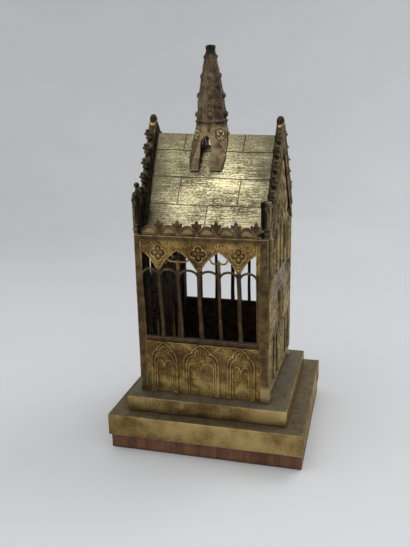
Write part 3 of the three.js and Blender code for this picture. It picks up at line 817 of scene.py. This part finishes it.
def limb(foot, apex):
    """One side of a pointed arch."""
    side = 1 if apex > foot else -1
    return bend((foot + side * 1.2, V_FOOT), (foot + side * 4.9, V_FOOT + 7.7), (apex, APEX), 10)


def window_outline():
    half = [p for p in limb(2 * PITCH, 3 * PITCH) if p[0] < JAMB]
    right = limb(0, PITCH) + limb(2 * PITCH, PITCH)[::-1][1:]
    right += [(2 * PITCH, V_FOOT - 1), *half, (JAMB, APEX - 0.9), (JAMB, SILL)]
    return right + mirrored(right) + [(0, V_FOOT - 1)]


def clover(x, y, lobe, spread, steps=7):
    points = []
    for quarter in range(4):
        turn = quarter * 90
        cx = x + spread * math.cos(math.radians(turn))
        cy = y + spread * math.sin(math.radians(turn))
        points += arc(cx, cy, lobe, lobe, turn - 100, turn + 100, steps)
    return points


def ogee(centre, half, neck, offset, foot):
    """The line of a blind arch: straight sides, round shoulders and a small bulb on top."""
    shoulder = arc(neck + offset, SHOULDER, half - neck, 6.7 + offset, 0, 80, 8)
    right = [(half + offset, foot), (half + offset, (foot + SHOULDER) / 2), *shoulder]
    waist, bulb = (neck + offset, 63.5 + offset * 0.6), (neck * 0.6 + offset * 0.8, 66.9 + offset * 0.6)
    right += bend(waist, (neck + 1.0 + offset, 65.4), bulb, 4)
    right += [(neck * 0.25 + offset * 0.4, 68.0 + offset), (0, 68.4 + offset * 1.3)]
    return shifted(right + mirrored(right)[1:], centre)


def field_line(centre, half):
    """The head of the sunk field: two lobes and a hanging cusp."""
    inner = half - 2.2
    right = [(inner, FLOOR + 2), *arc(inner / 2 + 0.15, 54.6, inner / 2 - 0.15, 3, 0, 150, 10)]
    return shifted([*right, (0, 53.6), *mirrored(right)], centre)


def fleur(x, y, size, w):
    """A little three-leaved flower."""
    leaves = [(0, 1.0, 0.55, 1.15, 0), (-0.95, 0.45, 0.45, 0.95, 48), (0.95, 0.45, 0.45, 0.95, -48)]
    return [ball(x + dx * size, y + dy * size, w, rx * size, ry * size, 0.55, turn, 8, 6)
            for dx, dy, rx, ry, turn in leaves]


def bay_rolls():
    """A round-headed bar across each of the six bays."""
    centres = [(i - 2.5) * PITCH for i in range(6)]
    return [roll(arc(centre, 113.1, 5.75, 4.6, 12, 168, 14), 1.15, 0.78, 8) for centre in centres]


def mullions(seed):
    bars = []
    for index in range(-2, 3):
        radius, top = (1.1, 122.6) if index % 2 else (1.42, V_FOOT + 1.6)
        lean = noise.noise(Vector((index * 3.1, seed, 0))) * 0.35
        path = []
        for k in range(13):
            t = k / 12
            sway = lean * math.sin(math.pi * t) + 0.12 * math.sin(9 * t + index)
            path.append((index * PITCH + sway, 72.6 + (top - 72.6) * t, 1.1))
        shape = [radius * (1.12 - 0.12 * min(1, k / 3)) for k in range(13)]
        bars.append(tube(path, shape, 10))
    return bars


def cusps():
    """The small scalloped bars over the two minor mullions; the left one is nearly straight."""
    bars = []
    for x, y, dip in ((-PITCH, 123.3, 0.4), (PITCH, 124.8, 2.2)):
        line = [(x - 7.0, y + 1.4), (x - 5.4, y + 0.3), *arc(x - 2.55, y, 2.6, dip, 180, 360, 8)]
        line += [*arc(x + 2.65, y, 2.6, dip, 180, 360, 8)[1:], (x + 5.6, y + 0.3), (x + 7.0, y + 1.4)]
        bars.append(roll(line, 1.1, 0.56))
        bars.append(ball(x, y - dip * 0.5 - 0.6, 1.1, 1.7, 0.8, 1.1, 0, 10, 6))
    return bars


def quatrefoil_bosses(x, y):
    bosses = []
    for angle in (0, math.pi / 2, math.pi, math.pi * 1.5):
        dx, dy = 1.95 * math.cos(angle), 2.1 * math.sin(angle)
        bosses.append(ball(x + dx, y + dy, 1.2, 1.45, 1.45, 1.2, 0, 12, 8))
    return [*bosses, ball(x, y, 1.2, 0.8, 0.8, 0.9, 0, 8, 6)]


def spandrel_rolls():
    """A thin roll along every edge of the spandrels."""
    rolls = []
    for foot in (-2, 0, 2):
        for side in (-1, 1):
            line = limb(foot * PITCH, (foot + side) * PITCH)
            rolls.append(roll([p for p in line if abs(p[0]) < JAMB + 0.6], 1.55, 0.62))
    return rolls


# The front's bars have been pushed to the left, more so towards the top: (place, shift) in mm.
PUSHED = [(-42, 0), (-36.5, -1.3), (-24.8, -2.1), (-12.4, -2.1), (0, -1.1),
          (12.4, -1.0), (24.8, -1.1), (36.5, -2.0), (42, -0.4)]
# Below the windows only the right border stands further in.
NARROWED = [(-42, 0), (28, 0), (36.5, -1.4), (42, 0)]


def pushed(p):
    rise = min(1.0, max(0.0, (p.y - 70) / 42))
    foot = min(1.0, max(0.0, (p.y - 60) / 12))
    shift = along(PUSHED, p.x) * rise + along(NARROWED, p.x) * foot * (1 - rise)
    return Vector((p.x + shift, p.y, p.z))


def window_wall(seed, worn):
    """The pierced wall: plate, borders, bars, arches and ornaments, joined in that order."""
    plate = slab(-42, FLOOR, 42, EAVES, 0, 1.6, 0.1)
    steps = cut_away(prism(window_outline(), -1, 4))
    left = prism([(-42, FLOOR), (-36.8, FLOOR), (-36.8, 137), (-42, 137)], 0.02, 2.2, 0.3)
    flared = [(36.8, FLOOR), (43.2, FLOOR), (42.7, 43), (42.1, 58), (42, 137), (36.8, 137)]
    right = prism(flared, 0.02, 2.2, 0.3)
    rail = slab(-42, 135.5, 42, EAVES, 0.02, 2.2, 0.3)
    steps += added(left, right, rail)
    for bars in (mullions(seed), bay_rolls(), spandrel_rolls()):
        steps += added(*by_turns(bars))
    steps += added(*cusps())
    steps += added(roll([(-37, 72.2), (-12, 72.15), (12, 72.25), (37, 72.2)], 1.5, 1.75, 14))
    steps += added(roll([(-37, 69.9), (37, 69.9)], 1.6, 0.45))
    steps += added(roll([(-41.8, 138.6), (41.8, 138.6)], 2.1, 0.38))
    steps += added(*[roll([(x, 73.5), (x, 135)], 1.7, 0.4) for x in (-36.5, 36.5)])
    for x in (-2 * PITCH, 0, 2 * PITCH):
        steps += cut_away(prism(clover(x, ROSE_HEIGHT, 2.35, 2.45), 1.05, 4))
        steps += added(roll(clover(x, ROSE_HEIGHT, 2.6, 2.6, 5), 1.65, 0.42, closed=True))
        steps += added(*quatrefoil_bosses(x, ROSE_HEIGHT))
        steps += added(ball(x, 121.8, 1.6, 0.6, 1.6, 0.5))
    for x in (-PITCH, PITCH):
        steps += added(*fleur(x, 132.2, 1.6, 1.9))
        for side in (-1, 1):
            line = bend((x + side * 4.4, 127.6), (x + side * 2.2, 131.2), (x + side * 1.2, 135.2), 6)
            steps += added(roll(line, 1.6, 0.45))
    for centre, half, neck in DADO_ARCHES:
        steps += cut_away(prism(field_line(centre, half), 1.2, 4))
        for offset, radius in ((1.05, 0.78), (-0.9, 0.66)):
            steps += added(roll(ogee(centre, half, neck, offset, FLOOR + 0.4), 1.75, radius))
        steps += added(roll(field_line(centre, half), 1.7, 0.45))
        steps += added(ball(centre, 52.9, 1.5, 0.75, 1.0, 0.7))
        steps += added(*fleur(centre, 63.6, 1.5, 1.6))
        for x in (centre - half, centre + half):
            shaft = [(x, FLOOR + 0.3, 1.5), (x, 47, 1.5), (x, 56.5, 1.45)]
            steps += added(tube(shaft, [1.05, 0.8, 0.6], 8))
            steps += added(slab(x - 1.3, FLOOR, x + 1.3, FLOOR + 1.6, 0.5, 2.5, 0.3))
    dent = turned([(0.55, 0.5), (0.6, 1.4), (1.0, 2.0)], 10)
    steps += cut_away(placed(dent, moved(16.4, 63, 0)))
    made = carved(plate, steps)
    sliced(made, 0, (-26.3, -13.1, -1.9, 11.7, 23.8))
    sliced(made, 1, (43.7, 49.3, 55.1, 61.3, 74.8, 90, 112))
    if worn:
        moved_points(made, pushed)
    return wobble(made, 9, 0.10, seed)


# ---------------------------------------------------------------- gable walls


GABLE_HALF = 40.0
LIGHT_PITCH = 14.3


def roof_height(distance):
    return RIDGE - abs(distance) * (RIDGE - EAVES) / EAVES_Y


def gable_outline():
    right = [(GABLE_HALF, FLOOR), (GABLE_HALF, roof_height(GABLE_HALF))]
    return [*right, (0, RIDGE), *mirrored(right)]


def pointed(centre, width, sill, springing, head, steps=6):
    half = width / 2
    side = bend((half, springing), (half * 0.95, springing + (head - springing) * 0.62), (0, head), steps)
    right = [(half, sill), *side]
    return shifted(right + mirrored(right)[1:], centre)


def net_outline(x, y):
    """A pointed, four-sided opening with bowed sides."""
    half, height = 4.6, 6.2
    top = bend((half * 0.86, 0), (half * 0.70, height * 0.55), (0, height), 4)
    right = [(px, -py) for px, py in reversed(top)] + top[1:]
    return shifted(right + mirrored(right)[1:-1], x, y)


def gable_openings():
    """Outlines of every opening, with the moulding's depth and size round each."""
    found = []
    for i in range(-2, 3):
        found.append((pointed(i * LIGHT_PITCH, 11.2, 111, 136, 145 - abs(i) * 1.5), 2.7, 0.85))
    for row in range(3):
        for i in range(4 - row):
            found.append((net_outline((i - (3 - row) / 2) * LIGHT_PITCH, 152 + row * 10.6), 2.7, 0.8))
    for x in (-28.6, -16.6, 16.6, 28.6):
        found.append((pointed(x, 9.2, 44, 72, 78), 3.7, 0.85))
    for side in (-1, 1):
        for row, y in enumerate((83.5, 90, 96.5)):
            for i in range(4 - row):
                x = side * 22.6 + (i - (3 - row) / 2) * 7.2
                found.append((clover(x, y, 0.95, 1.15, 3), 3.7, 0.5))
    return found


def rim():
    """The raised border along both slopes."""
    lift, drop = 4 / math.cos(ROOF_ANGLE), 3.4 / math.cos(ROOF_ANGLE)
    foot, low = max(roof_height(GABLE_HALF) - drop, 139.5), roof_height(GABLE_HALF) + lift
    right = [(GABLE_HALF, foot), (GABLE_HALF, low)]
    return prism([*right, (0, RIDGE + lift), *mirrored(right), (0, RIDGE - drop)], 0, 4.4, 0.35)


def rim_line(offset):
    """A line that follows both slopes at a distance above the roof's surface."""
    lift, reach = offset / math.cos(ROOF_ANGLE), 38.5
    low = roof_height(reach) + lift
    return [(reach, low), (0, RIDGE + lift), (-reach, low)]


def crocket(side, height, seed):
    """A curled leaf on the slope: a stalk, a rolled head and lobes to each side."""
    lift = 4 / math.cos(ROOF_ANGLE)
    x = (RIDGE + lift - height) * EAVES_Y / (RIDGE - EAVES)
    out = Vector((math.sin(ROOF_ANGLE), math.cos(ROOF_ANGLE)))
    up = Vector((-math.cos(ROOF_ANGLE), math.sin(ROOF_ANGLE)))
    parts = []
    jitter = 0.12 * math.sin(seed * 7.7)

    def lobe(a, o, w, ra, ro, rw, turn=0.0):
        a, o, w, ra, ro, rw = (1.18 * value for value in (a, o, w, ra, ro, rw))
        centre = Vector((x, height)) + out * (o + jitter) + up * (a + jitter)
        angle = math.degrees(math.atan2(up.y, up.x)) + turn
        points, faces = ball(centre.x, centre.y, 2.2 + w, ra, ro, rw, angle, 10, 8)
        faces = faces if side > 0 else [face[::-1] for face in faces]
        parts.append(([(side * px, py, pw) for px, py, pw in points], faces))

    lobe(-0.6, 0.3, 0, 2.1, 1.3, 1.4, 10)
    lobe(0.8, 1.7, 0.3, 1.7, 1.35, 2.3, 30)
    lobe(2.1, 2.7, 0.6, 1.05, 0.95, 1.6, 0)
    lobe(-1.5, 1.6, 0.5, 1.0, 0.9, 1.6, 0)
    lobe(0.4, 2.5, 1.7, 1.0, 0.8, 1.1, 20)
    return parts


def finial():
    """A tight bud on a short stalk with a collar."""
    stalk, bud = ball(0, 199.5, 2.2, 2.0, 3.6, 2.0, 0, 12, 8), ball(0, 204.0, 2.2, 2.5, 3.2, 2.5, 0, 12, 10)
    tip, collar = ball(0, 205.9, 2.2, 1.9, 1.5, 1.9, 0, 10, 8), ball(0, 200.7, 2.2, 2.4, 0.7, 2.4, 0, 12, 6)
    return [stalk, bud, tip, collar]


def pinnacle(x, w, knob):
    """A square turret with a sunk lancet on each face, small gables and a low spire."""
    half = 2.6
    steps = []
    body = slab(x - half, 139.3, x + half, 160, w - half, w + half, 0.25)
    lancet = prism(pointed(0, 2.3, 145, 153.5, 156.6, 5), half - 0.8, half + 2)
    border = roll(pointed(0, 3.0, 144.6, 153.6, 157.2, 5), half, 0.26, closed=True)
    right = [(half + 0.25, 157.3), (half + 0.1, 158.6)]
    gablet = prism([*right, (0, 162.4), *mirrored(right)], half - 1.2, half + 0.35, 0.15)
    for turn in (0, 90, 180, 270):
        face = moved(x, 0, w) @ spun(turn, "Y")
        steps += cut_away(placed(lancet, face)) + added(placed(gablet, face), placed(border, face))
    spike = turned([(3.3, 158.5), (2.2, 161.2), (0.75, 164.6)], 8, 22.5)
    upright = Matrix(((1, 0, 0, x), (0, 0, 1, 0), (0, -1, 0, w), (0, 0, 0, 1)))
    if knob:
        steps += added(placed(spike, upright))
    else:
        steps += cut_away(slab(x - 6, 160.6, x + 6, 170, w - 6, w + 6, 0))
    band = half + 0.35
    steps += added(slab(x - band, 141.6, x + band, 142.8, w - band, w + band, 0.2))
    if knob:
        steps += added(ball(x, 166.2, w, 1.75, 1.7, 1.75, 0, 12, 8))
        steps += added(ball(x, 164.3, w, 1.15, 0.6, 1.15, 0, 10, 6))
    return carved(body, steps)


def gable_wall(name, azimuth, node, lean, inward, knobless, seed):
    plate = prism(gable_outline(), 0, 2.6, 0.1)
    storey = [(0, FLOOR), (3.6, FLOOR), (3.6, 102), (2.0, 109.5), (0, 109.5)]
    lay = Matrix(((0, 0, 1, 0), (0, 1, 0, 0), (1, 0, 0, 0), (0, 0, 0, 1)))
    lower = placed(prism([(-w, y) for w, y in storey], -40, 40), Matrix.Scale(-1, 4, (0, 0, 1)) @ lay)
    steps = added(lower, rim())
    mouldings = []
    for outline, depth, size in gable_openings():
        steps += cut_away(prism(outline, -1, 8))
        ring = outline if area_of(outline) > 0 else outline[::-1]
        mouldings.append(roll(grown(ring, size * 0.5), depth, size, closed=True))
    centre = carved(plate, steps)
    trim = added(*by_turns(mouldings, 3))
    trim += added(*[roll([(x, 43), (x, 99)], 3.7, 1.2, 8) for x in (-7, 0, 7)])
    for y, w, radius in ((42.4, 3.6, 0.8), (80.2, 3.6, 0.5), (101.2, 3.5, 0.9), (109.6, 2.3, 0.6)):
        trim += added(roll([(-40, y), (40, y)], w, radius, 8))
    for i in range(-2, 2):
        x = (i + 0.5) * LIGHT_PITCH
        trim += added(roll([(x, 110), (x, 147)], 2.7, 1.0, 8))
    trim += added(roll(rim_line(3.0), 4.3, 0.85, 8), roll(rim_line(-2.4), 4.3, 0.75, 8))
    for x in (-22.6, 22.6):
        arch = bend((x - 12.4, 80), (x - 11, 96), (x, 101), 8)
        arch += bend((x, 101), (x + 11, 96), (x + 12.4, 80), 8)[1:]
        trim += added(roll(arch, 3.6, 0.55))
    carved(centre, trim)
    leaves = []
    for i in range(5):
        for side in (-1, 1):
            leaves += crocket(side, 161 + i * 8.1, i + side * 0.3)
    leaves += finial()
    merged(centre, fused(raw_object(together(*leaves)), 0.3, 3, 0.45))
    if lean:
        sliced(centre, 1, [60, 85, 110, 125, 140, 150, 165, 180])
        moved_points(centre, lambda p: p + Vector((
            0, ridge_rise(p.y, -RIDGE_END), -along(LEFT_LEAN, p.y),
        )))
    wobble(centre, 8, 0.12, seed)
    posts = []
    for side in (-1, 1):
        inner, middle, outer = side * 33.8, side * 36.9, side * 40
        shaft = prism([(inner, FLOOR), (outer, FLOOR), (outer, 140), (inner, 140)], -inward, 3.8, 0.3)
        reeds = [roll([(side * x, 43), (side * x, 139)], 3.8, 0.7, 8) for x in (35.0, 36.9, 38.8)]
        bands = [slab(middle - 3.3, y, middle + 3.3, y + 1.5, 0.5, 4.5, 0.3) for y in (36, 101.5, 136.8)]
        posts.append(carved(shaft, added(*reeds, *bands)))
        turret = pinnacle(side * 39.6, 1.0, side != knobless)
        if lean:
            moved_points(turret, lambda p: p + Vector((0, 0.10 * max(0, p.y - 141), 0)))
        posts.append(turret)
    merged(centre, *posts)
    piece(centre, name, wall_matrix(azimuth, GABLE_PLANE), SIDE, node, INSIDE_SHADE)


# ---------------------------------------------------------------- cresting, roof and fleche

ARC_CENTRES = [-31.4 + i * 12 for i in range(6)]
FLECHE_X = -2.9


def palmette(x, size):
    """Five leaves that spread from a stalk, the middle one pointed."""
    foot = EAVES + 0.3
    parts = [ball(x, foot + 2.0, 0.9, 1.1, 3.0, 0.7, 0, 8, 6)]
    for dx, dy, rx, ry, turn in (
        (0, 6.5, 1.4, 3.1, 0), (-1.8, 5.5, 1.1, 2.5, 28), (1.8, 5.5, 1.1, 2.5, -28),
        (-2.8, 3.9, 1.0, 1.9, 56), (2.8, 3.9, 1.0, 1.9, -56),
    ):
        parts.append(ball(x + dx * size, foot + dy, 0.85, rx, ry, 0.7, turn, 10, 6))
    return parts


def cresting(name, azimuth, node):
    foot = EAVES + 0.3
    leaves = []
    for i, centre in enumerate(ARC_CENTRES):
        leaves += palmette(centre + 5.6, 1.12 if i == 5 else 1.0)
    rolls = [roll(arc(c, foot + 0.4, 5.2, 5.2, 4, 176, 14), 0.75, 0.62, 8) for c in ARC_CENTRES]
    inner = [roll(arc(c, foot + 0.4, 3.9, 3.9, 4, 176, 12), 0.55, 0.3) for c in ARC_CENTRES]
    strip = slab(-36.6, foot, 36.6, foot + 1.0, 0, 1.15, 0.15)
    fills = [prism(arc(c, foot, 5.2, 5.4, 0, 180, 14), 0.02, 0.62) for c in ARC_CENTRES]
    body = carved(strip, added(*by_turns(fills), *by_turns(rolls), *inner))
    garland = fused(raw_object(together(*leaves)), 0.22, 2, 0.6)
    carved(body, [("INTERSECT", slab(-36.6, foot, 36.6, foot + 20, -1, 2.0, 0))])
    merged(body, garland)
    moved_points(body, lambda p: Vector((p.x, p.y, max(p.z, 0.02))))
    piece(body, name, wall_matrix(azimuth, CRESTING_PLANE), CREST, node)


def roof_left(slope):
    """Where a sheet meets the leaning left gable, at a place up the slope."""
    return -GABLE_PLANE + along(LEFT_LEAN, EAVES + slope * math.sin(ROOF_ANGLE)) + 0.3


def roof_sheet(name, azimuth, finish, node, seed):
    sign = -1 if azimuth else 1
    top = SLOPE - math.tan(ROOF_ANGLE) - 0.3
    well_left, well_right, well = FLECHE_X - 5, FLECHE_X + 5, SLOPE - 10.5
    outline = [
        (roof_left(1.2), 1.2), (36.5, 1.2), (36.5, 8.2), (38.3, 8.2), (38.3, top), (well_right, top),
        (well_right, well), (well_left, well), (well_left, top), (roof_left(top), top),
    ]
    if sign < 0:
        outline = mirrored(outline)
    sheet = prism(outline, 0, ROOF_SHEET, 0.08)
    rows = [0, 20, 38.5, 57, SLOPE]
    cuts = []
    for row in rows[1:4]:
        line = [(x, row + 0.25 - 0.008 * x + 0.2 * math.sin(x * 0.21 + row)) for x in range(-60, 61, 6)]
        cuts.append(roll(line, 1.02, 0.36))
    for places, low, high in zip(((1.4,), (-18, 20), (0.5,), (-19.3, 19)), rows, rows[1:]):
        for x in places:
            line = [(sign * x + 0.3 * t, low + (high - low) * t) for t in (0, 0.5, 1.0)]
            cuts.append(roll(line, 1.02, 0.36))
    made = carved(sheet, cut_away(*cuts))
    sliced(made, 0, range(-36, 38, 6))
    sliced(made, 1, range(6, 68, 6))

    def sagging(p):
        depth = 0.22 * noise.noise(Vector((p.x / 17 + seed, p.y / 15, seed))) - 0.1
        lift = ridge_rise(EAVES + p.y * math.sin(ROOF_ANGLE), sign * p.x)
        return p + Vector((0, lift * math.sin(ROOF_ANGLE), depth + lift * math.cos(ROOF_ANGLE)))

    moved_points(made, sagging)
    piece(made, name, roof_matrix(azimuth), finish, node)


# The collar is eight-sided on top and nearly square at its feet: height, reach in x and y, corner cut.
COLLAR = [(170, 14.6, 18.6, 4.6), (178, 14.4, 16.0, 4.8), (183, 13.6, 14.4, 5.2), (188, 12.2, 12.6, 6.0),
          (196, 10.5, 10.5, 6.15), (204.2, 8.9, 8.9, 5.2)]
SPIRE_LINE = [(9.0, 206), (8.8, 210), (8.0, 218), (6.6, 227), (4.7, 237), (3.3, 245.5)]


def collar_solid(thinner, bottom, top):
    """Joins the collar's eight-cornered sections, made smaller by a thickness."""
    points, faces = [], []
    for z, rx, ry, cut in [(bottom, *COLLAR[0][1:]), *COLLAR[1:-1], (top, *COLLAR[-1][1:])]:
        rx, ry, cut = rx - thinner, ry - thinner, cut - thinner * 0.586
        corner = [(rx, -ry + cut), (rx, ry - cut), (rx - cut, ry), (-rx + cut, ry),
                  (-rx, ry - cut), (-rx, -ry + cut), (-rx + cut, -ry), (rx - cut, -ry)]
        points += [(x, y, z) for x, y in corner]
    for k in range(len(COLLAR) - 1):
        for i in range(8):
            j = (i + 1) % 8
            faces.append((k * 8 + i, k * 8 + j, k * 8 + 8 + j, k * 8 + 8 + i))
    last = (len(COLLAR) - 1) * 8
    return points, [*faces, tuple(reversed(range(8))), tuple(range(last, last + 8))]


def leg_rounding(side, reach):
    """What is cut away outside a leg's rounded lower corner, seen from the front."""
    line = [(0, 187), (0.1, 181), (-0.6, 177.6), (-2.4, 175.2), (-5.2, 173.6), (-10, 173.0),
            (-10, 160), (16, 160), (16, 187)]
    shape = prism([(side * (reach + x), z) for x, z in line], -40, 40)
    return placed(shape, spun(90, "X"))


def collar_arch(width, from_y, to_y):
    """The opening between two legs, cut from one depth to another."""
    half = width / 2
    right = [(half, 160), (half, 190), (half * 0.92, 192.4), (half * 0.6, 194.9)]
    outline = shifted(right + [(0, 196.4)] + mirrored(right), -0.9)
    return placed(prism(outline, -to_y, -from_y), spun(90, "X"))


def roof_wedge():
    """The space that the roof takes up under the collar."""
    lift = 0.35 / math.cos(ROOF_ANGLE) + ridge_rise(RIDGE, FLECHE_X)
    section = [(-60, roof_height(60) + lift), (60, roof_height(60) + lift), (0, RIDGE + lift)]
    return placed(prism(section, -60, 60), spun(90) @ spun(90, "X"))


def face_clover(turn):
    """Four bright lobes in a sunk frame on one of the collar's diagonal faces."""
    tilt = math.atan2(1.8, 8.2)
    stand = spun(turn) @ moved(0, -10.45, 196.6) @ Matrix.Rotation(math.pi / 2 - tilt, 4, "X")
    lobes = [ball(1.7 * c, 2.0 * s, 0.35, 1.0, 1.1, 1.0) for c, s in ((1, 0), (-1, 0), (0, 1), (0, -1))]
    border = roll(clover(0, 0, 2.0, 2.1, 4), 0.2, 0.38, closed=True)
    return [placed(shape, stand) for shape in (*lobes, border)]


def fleche():
    collar = carved(collar_solid(0, 170, 204.2), cut_away(
        collar_solid(1.8, 166, 208), collar_arch(6.7, -30, 0), collar_arch(8.6, 0, 30), roof_wedge(),
        leg_rounding(1, 13.4), leg_rounding(-1, 14.1),
    ))
    broken_tip = [(2.95, 247.2), (3.3, 247.7), (3.35, 249.0), (2.9, 249.7)]
    parts = [turned([(7.0, 203.8), (9.3, 204.2), *SPIRE_LINE, *broken_tip], 8, 22.5)]
    ring = [(9.35 * math.cos(a), 9.35 * math.sin(a), 204.9 + 0.25 * math.sin(a))
            for a in [math.tau * k / 32 for k in range(32)]]
    parts.append(tube(ring, 1.1, 8, closed=True))
    for turn in (45, 135, 225, 315):
        parts += face_clover(turn)
    for k in range(8):
        angle = math.radians(22.5 + 45 * k)
        edge = [(r * math.cos(angle) * 0.985, r * math.sin(angle) * 0.985, z) for r, z in SPIRE_LINE]
        parts.append(tube(edge, [0.62, 0.6, 0.55, 0.5, 0.42, 0.3], 6))
    for row in range(7):
        z = 208.8 + row * 5.7
        radius = along([(h, r) for r, h in SPIRE_LINE], z)
        size = 1.0 - 0.06 * row
        for i in range(4):
            angle = math.radians(90 * i + 45 * (row % 2) + 11)
            x, y = (radius - 0.35) * math.cos(angle), (radius - 0.35) * math.sin(angle)
            parts.append(ball(x, y, z, 2.1 * size, 2.1 * size, 2.3 * size, 0, 10, 8))
            parts.append(ball(x * 1.04, y * 1.04, z + 0.8, 1.5 * size, 1.5 * size, 1.4 * size, 0, 10, 8))
            parts.append(ball(x * 0.97, y * 0.97, z - 2.2, 0.9, 0.9, 2.0, 0, 8, 6))
    solid = fused(merged(raw_object(together(*parts)), collar), 0.34, 2, 0.6)
    wobble(solid, 1.6, 0.24, 4.0)
    wobble(solid, 7, 0.3, 6.0)
    where = CHAPEL @ moved(FLECHE_X * MM, 0, 0)
    piece(solid, "spire_casting", where, SPIRE, "fleche", angle=60)


# ---------------------------------------------------------------- building

board()
plinth()
step()
for side, azimuth, finish, seed in (("front", 0, FRONT, 1.0), ("back", 180, BACK, 2.0)):
    wall = window_wall(seed, worn=side == "front")
    stand = wall_matrix(azimuth, WALL_PLANE)
    piece(wall, side + "_tracery", stand, finish, side + "_wall", INSIDE_SHADE)
gable_wall("right_gable", 90, "gable_wall_right", lean=False, inward=0, knobless=-1, seed=3.0)
gable_wall("left_gable", -90, "gable_wall_left", lean=True, inward=3, knobless=0, seed=4.0)
cresting("front_cresting", 0, "cresting_front")
cresting("back_cresting", 180, "cresting_back")
roof_sheet("front_roof", 0, ROOF_FRONT, "roof_front", 1.0)
roof_sheet("back_roof", 180, ROOF_BACK, "roof_back", 2.0)
fleche()

# ---------------------------------------------------------------- studio


def stage():
    """A pale floor that curves up into a wall all round."""
    flat, curve = 0.9, 0.8
    profile = [(r, 0.0) for r in (0.0, 0.15, 0.3, 0.5, 0.7, flat)]
    for degrees in range(8, 91, 6):
        angle = math.radians(degrees)
        profile.append((flat + curve * math.sin(angle), curve - curve * math.cos(angle)))
    profile += [(1.72, 1.1), (1.72, 1.5)]
    floor = raw_object(lathed(profile, 64), "studio_floor")
    work = bmesh.new()
    work.from_mesh(floor.data)
    bmesh.ops.remove_doubles(work, verts=work.verts, dist=1e-6)
    work.to_mesh(floor.data)
    work.free()
    for face in floor.data.polygons:
        face.use_smooth = True
    n = Nodes("studio_paper")
    paper = n.noise(400, 2)
    seen = n.ramp(n.span(paper, 0.3, 0.7), (0.80, 0.80, 0.80), (0.84, 0.84, 0.835))
    # Painted falloff of the light: the floor darker towards the back and the left, lighter towards the
    # front and the right.
    near = n.plus(n.span(n.axis(1), 500, -300, 0.78, 0.97), n.span(n.axis(0), -500, 600, -0.03, 0.07))
    seen = n.mix(1.0, seen, n.ramp(near, 0.0, 1.0), "MULTIPLY")
    n.set(colour=seen, rough=0.9)
    n.shader.inputs["Specular IOR Level"].default_value = 0.1
    floor.data.materials.append(n.material)


def area_light(name, place, target, size, power, colour):
    data = bpy.data.lights.new(name, "AREA")
    data.shape = "RECTANGLE"
    data.size, data.size_y = size
    data.energy = power
    data.color = colour
    lamp = bpy.data.objects.new(name, data)
    bpy.context.scene.collection.objects.link(lamp)
    lamp.location = place
    aim = Vector(target) - Vector(place)
    lamp.rotation_euler = aim.to_track_quat("-Z", "Y").to_euler()


def sky():
    world = bpy.data.worlds.new("studio_air")
    world.use_nodes = True
    back = world.node_tree.nodes["Background"]
    back.inputs["Color"].default_value = (0.93, 0.96, 1.0, 1)
    back.inputs["Strength"].default_value = 0.91
    bpy.context.scene.world = world


def camera():
    azimuth, elevation, tilt = (math.radians(angle) for angle in (15.038, 15.364, -1.148))
    level = math.cos(elevation)
    back = Vector((math.sin(azimuth) * level, -math.cos(azimuth) * level, math.sin(elevation)))
    right = Vector((math.cos(azimuth), math.sin(azimuth), 0))
    up = back.cross(right)
    across = right * math.cos(tilt) + up * math.sin(tilt)
    upward = -right * math.sin(tilt) + up * math.cos(tilt)
    data = bpy.data.cameras.new("camera")
    data.sensor_fit = "VERTICAL"
    data.sensor_height = 36
    data.lens = 615.46 / 547 * 36
    data.clip_start = 0.01
    eye = bpy.data.objects.new("camera", data)
    bpy.context.scene.collection.objects.link(eye)
    place = Vector((-0.01126, 0, 0.1052)) + back * 0.414
    rows = [(across[i], upward[i], back[i], place[i]) for i in range(3)]
    eye.matrix_world = Matrix((*rows, (0, 0, 0, 1)))
    bpy.context.scene.camera = eye


stage()
sky()
area_light("key", (-0.29, -0.52, 1.18), (0, 0, 0.16), (0.40, 0.30), 0.95, (1.0, 0.98, 0.94))
area_light("back_fill", (0.75, 0.75, 1.2), (0, 0, 0.1), (0.8, 0.8), 5, (0.97, 0.98, 1.0))
camera()
bpy.context.scene.view_settings.view_transform = "Standard"
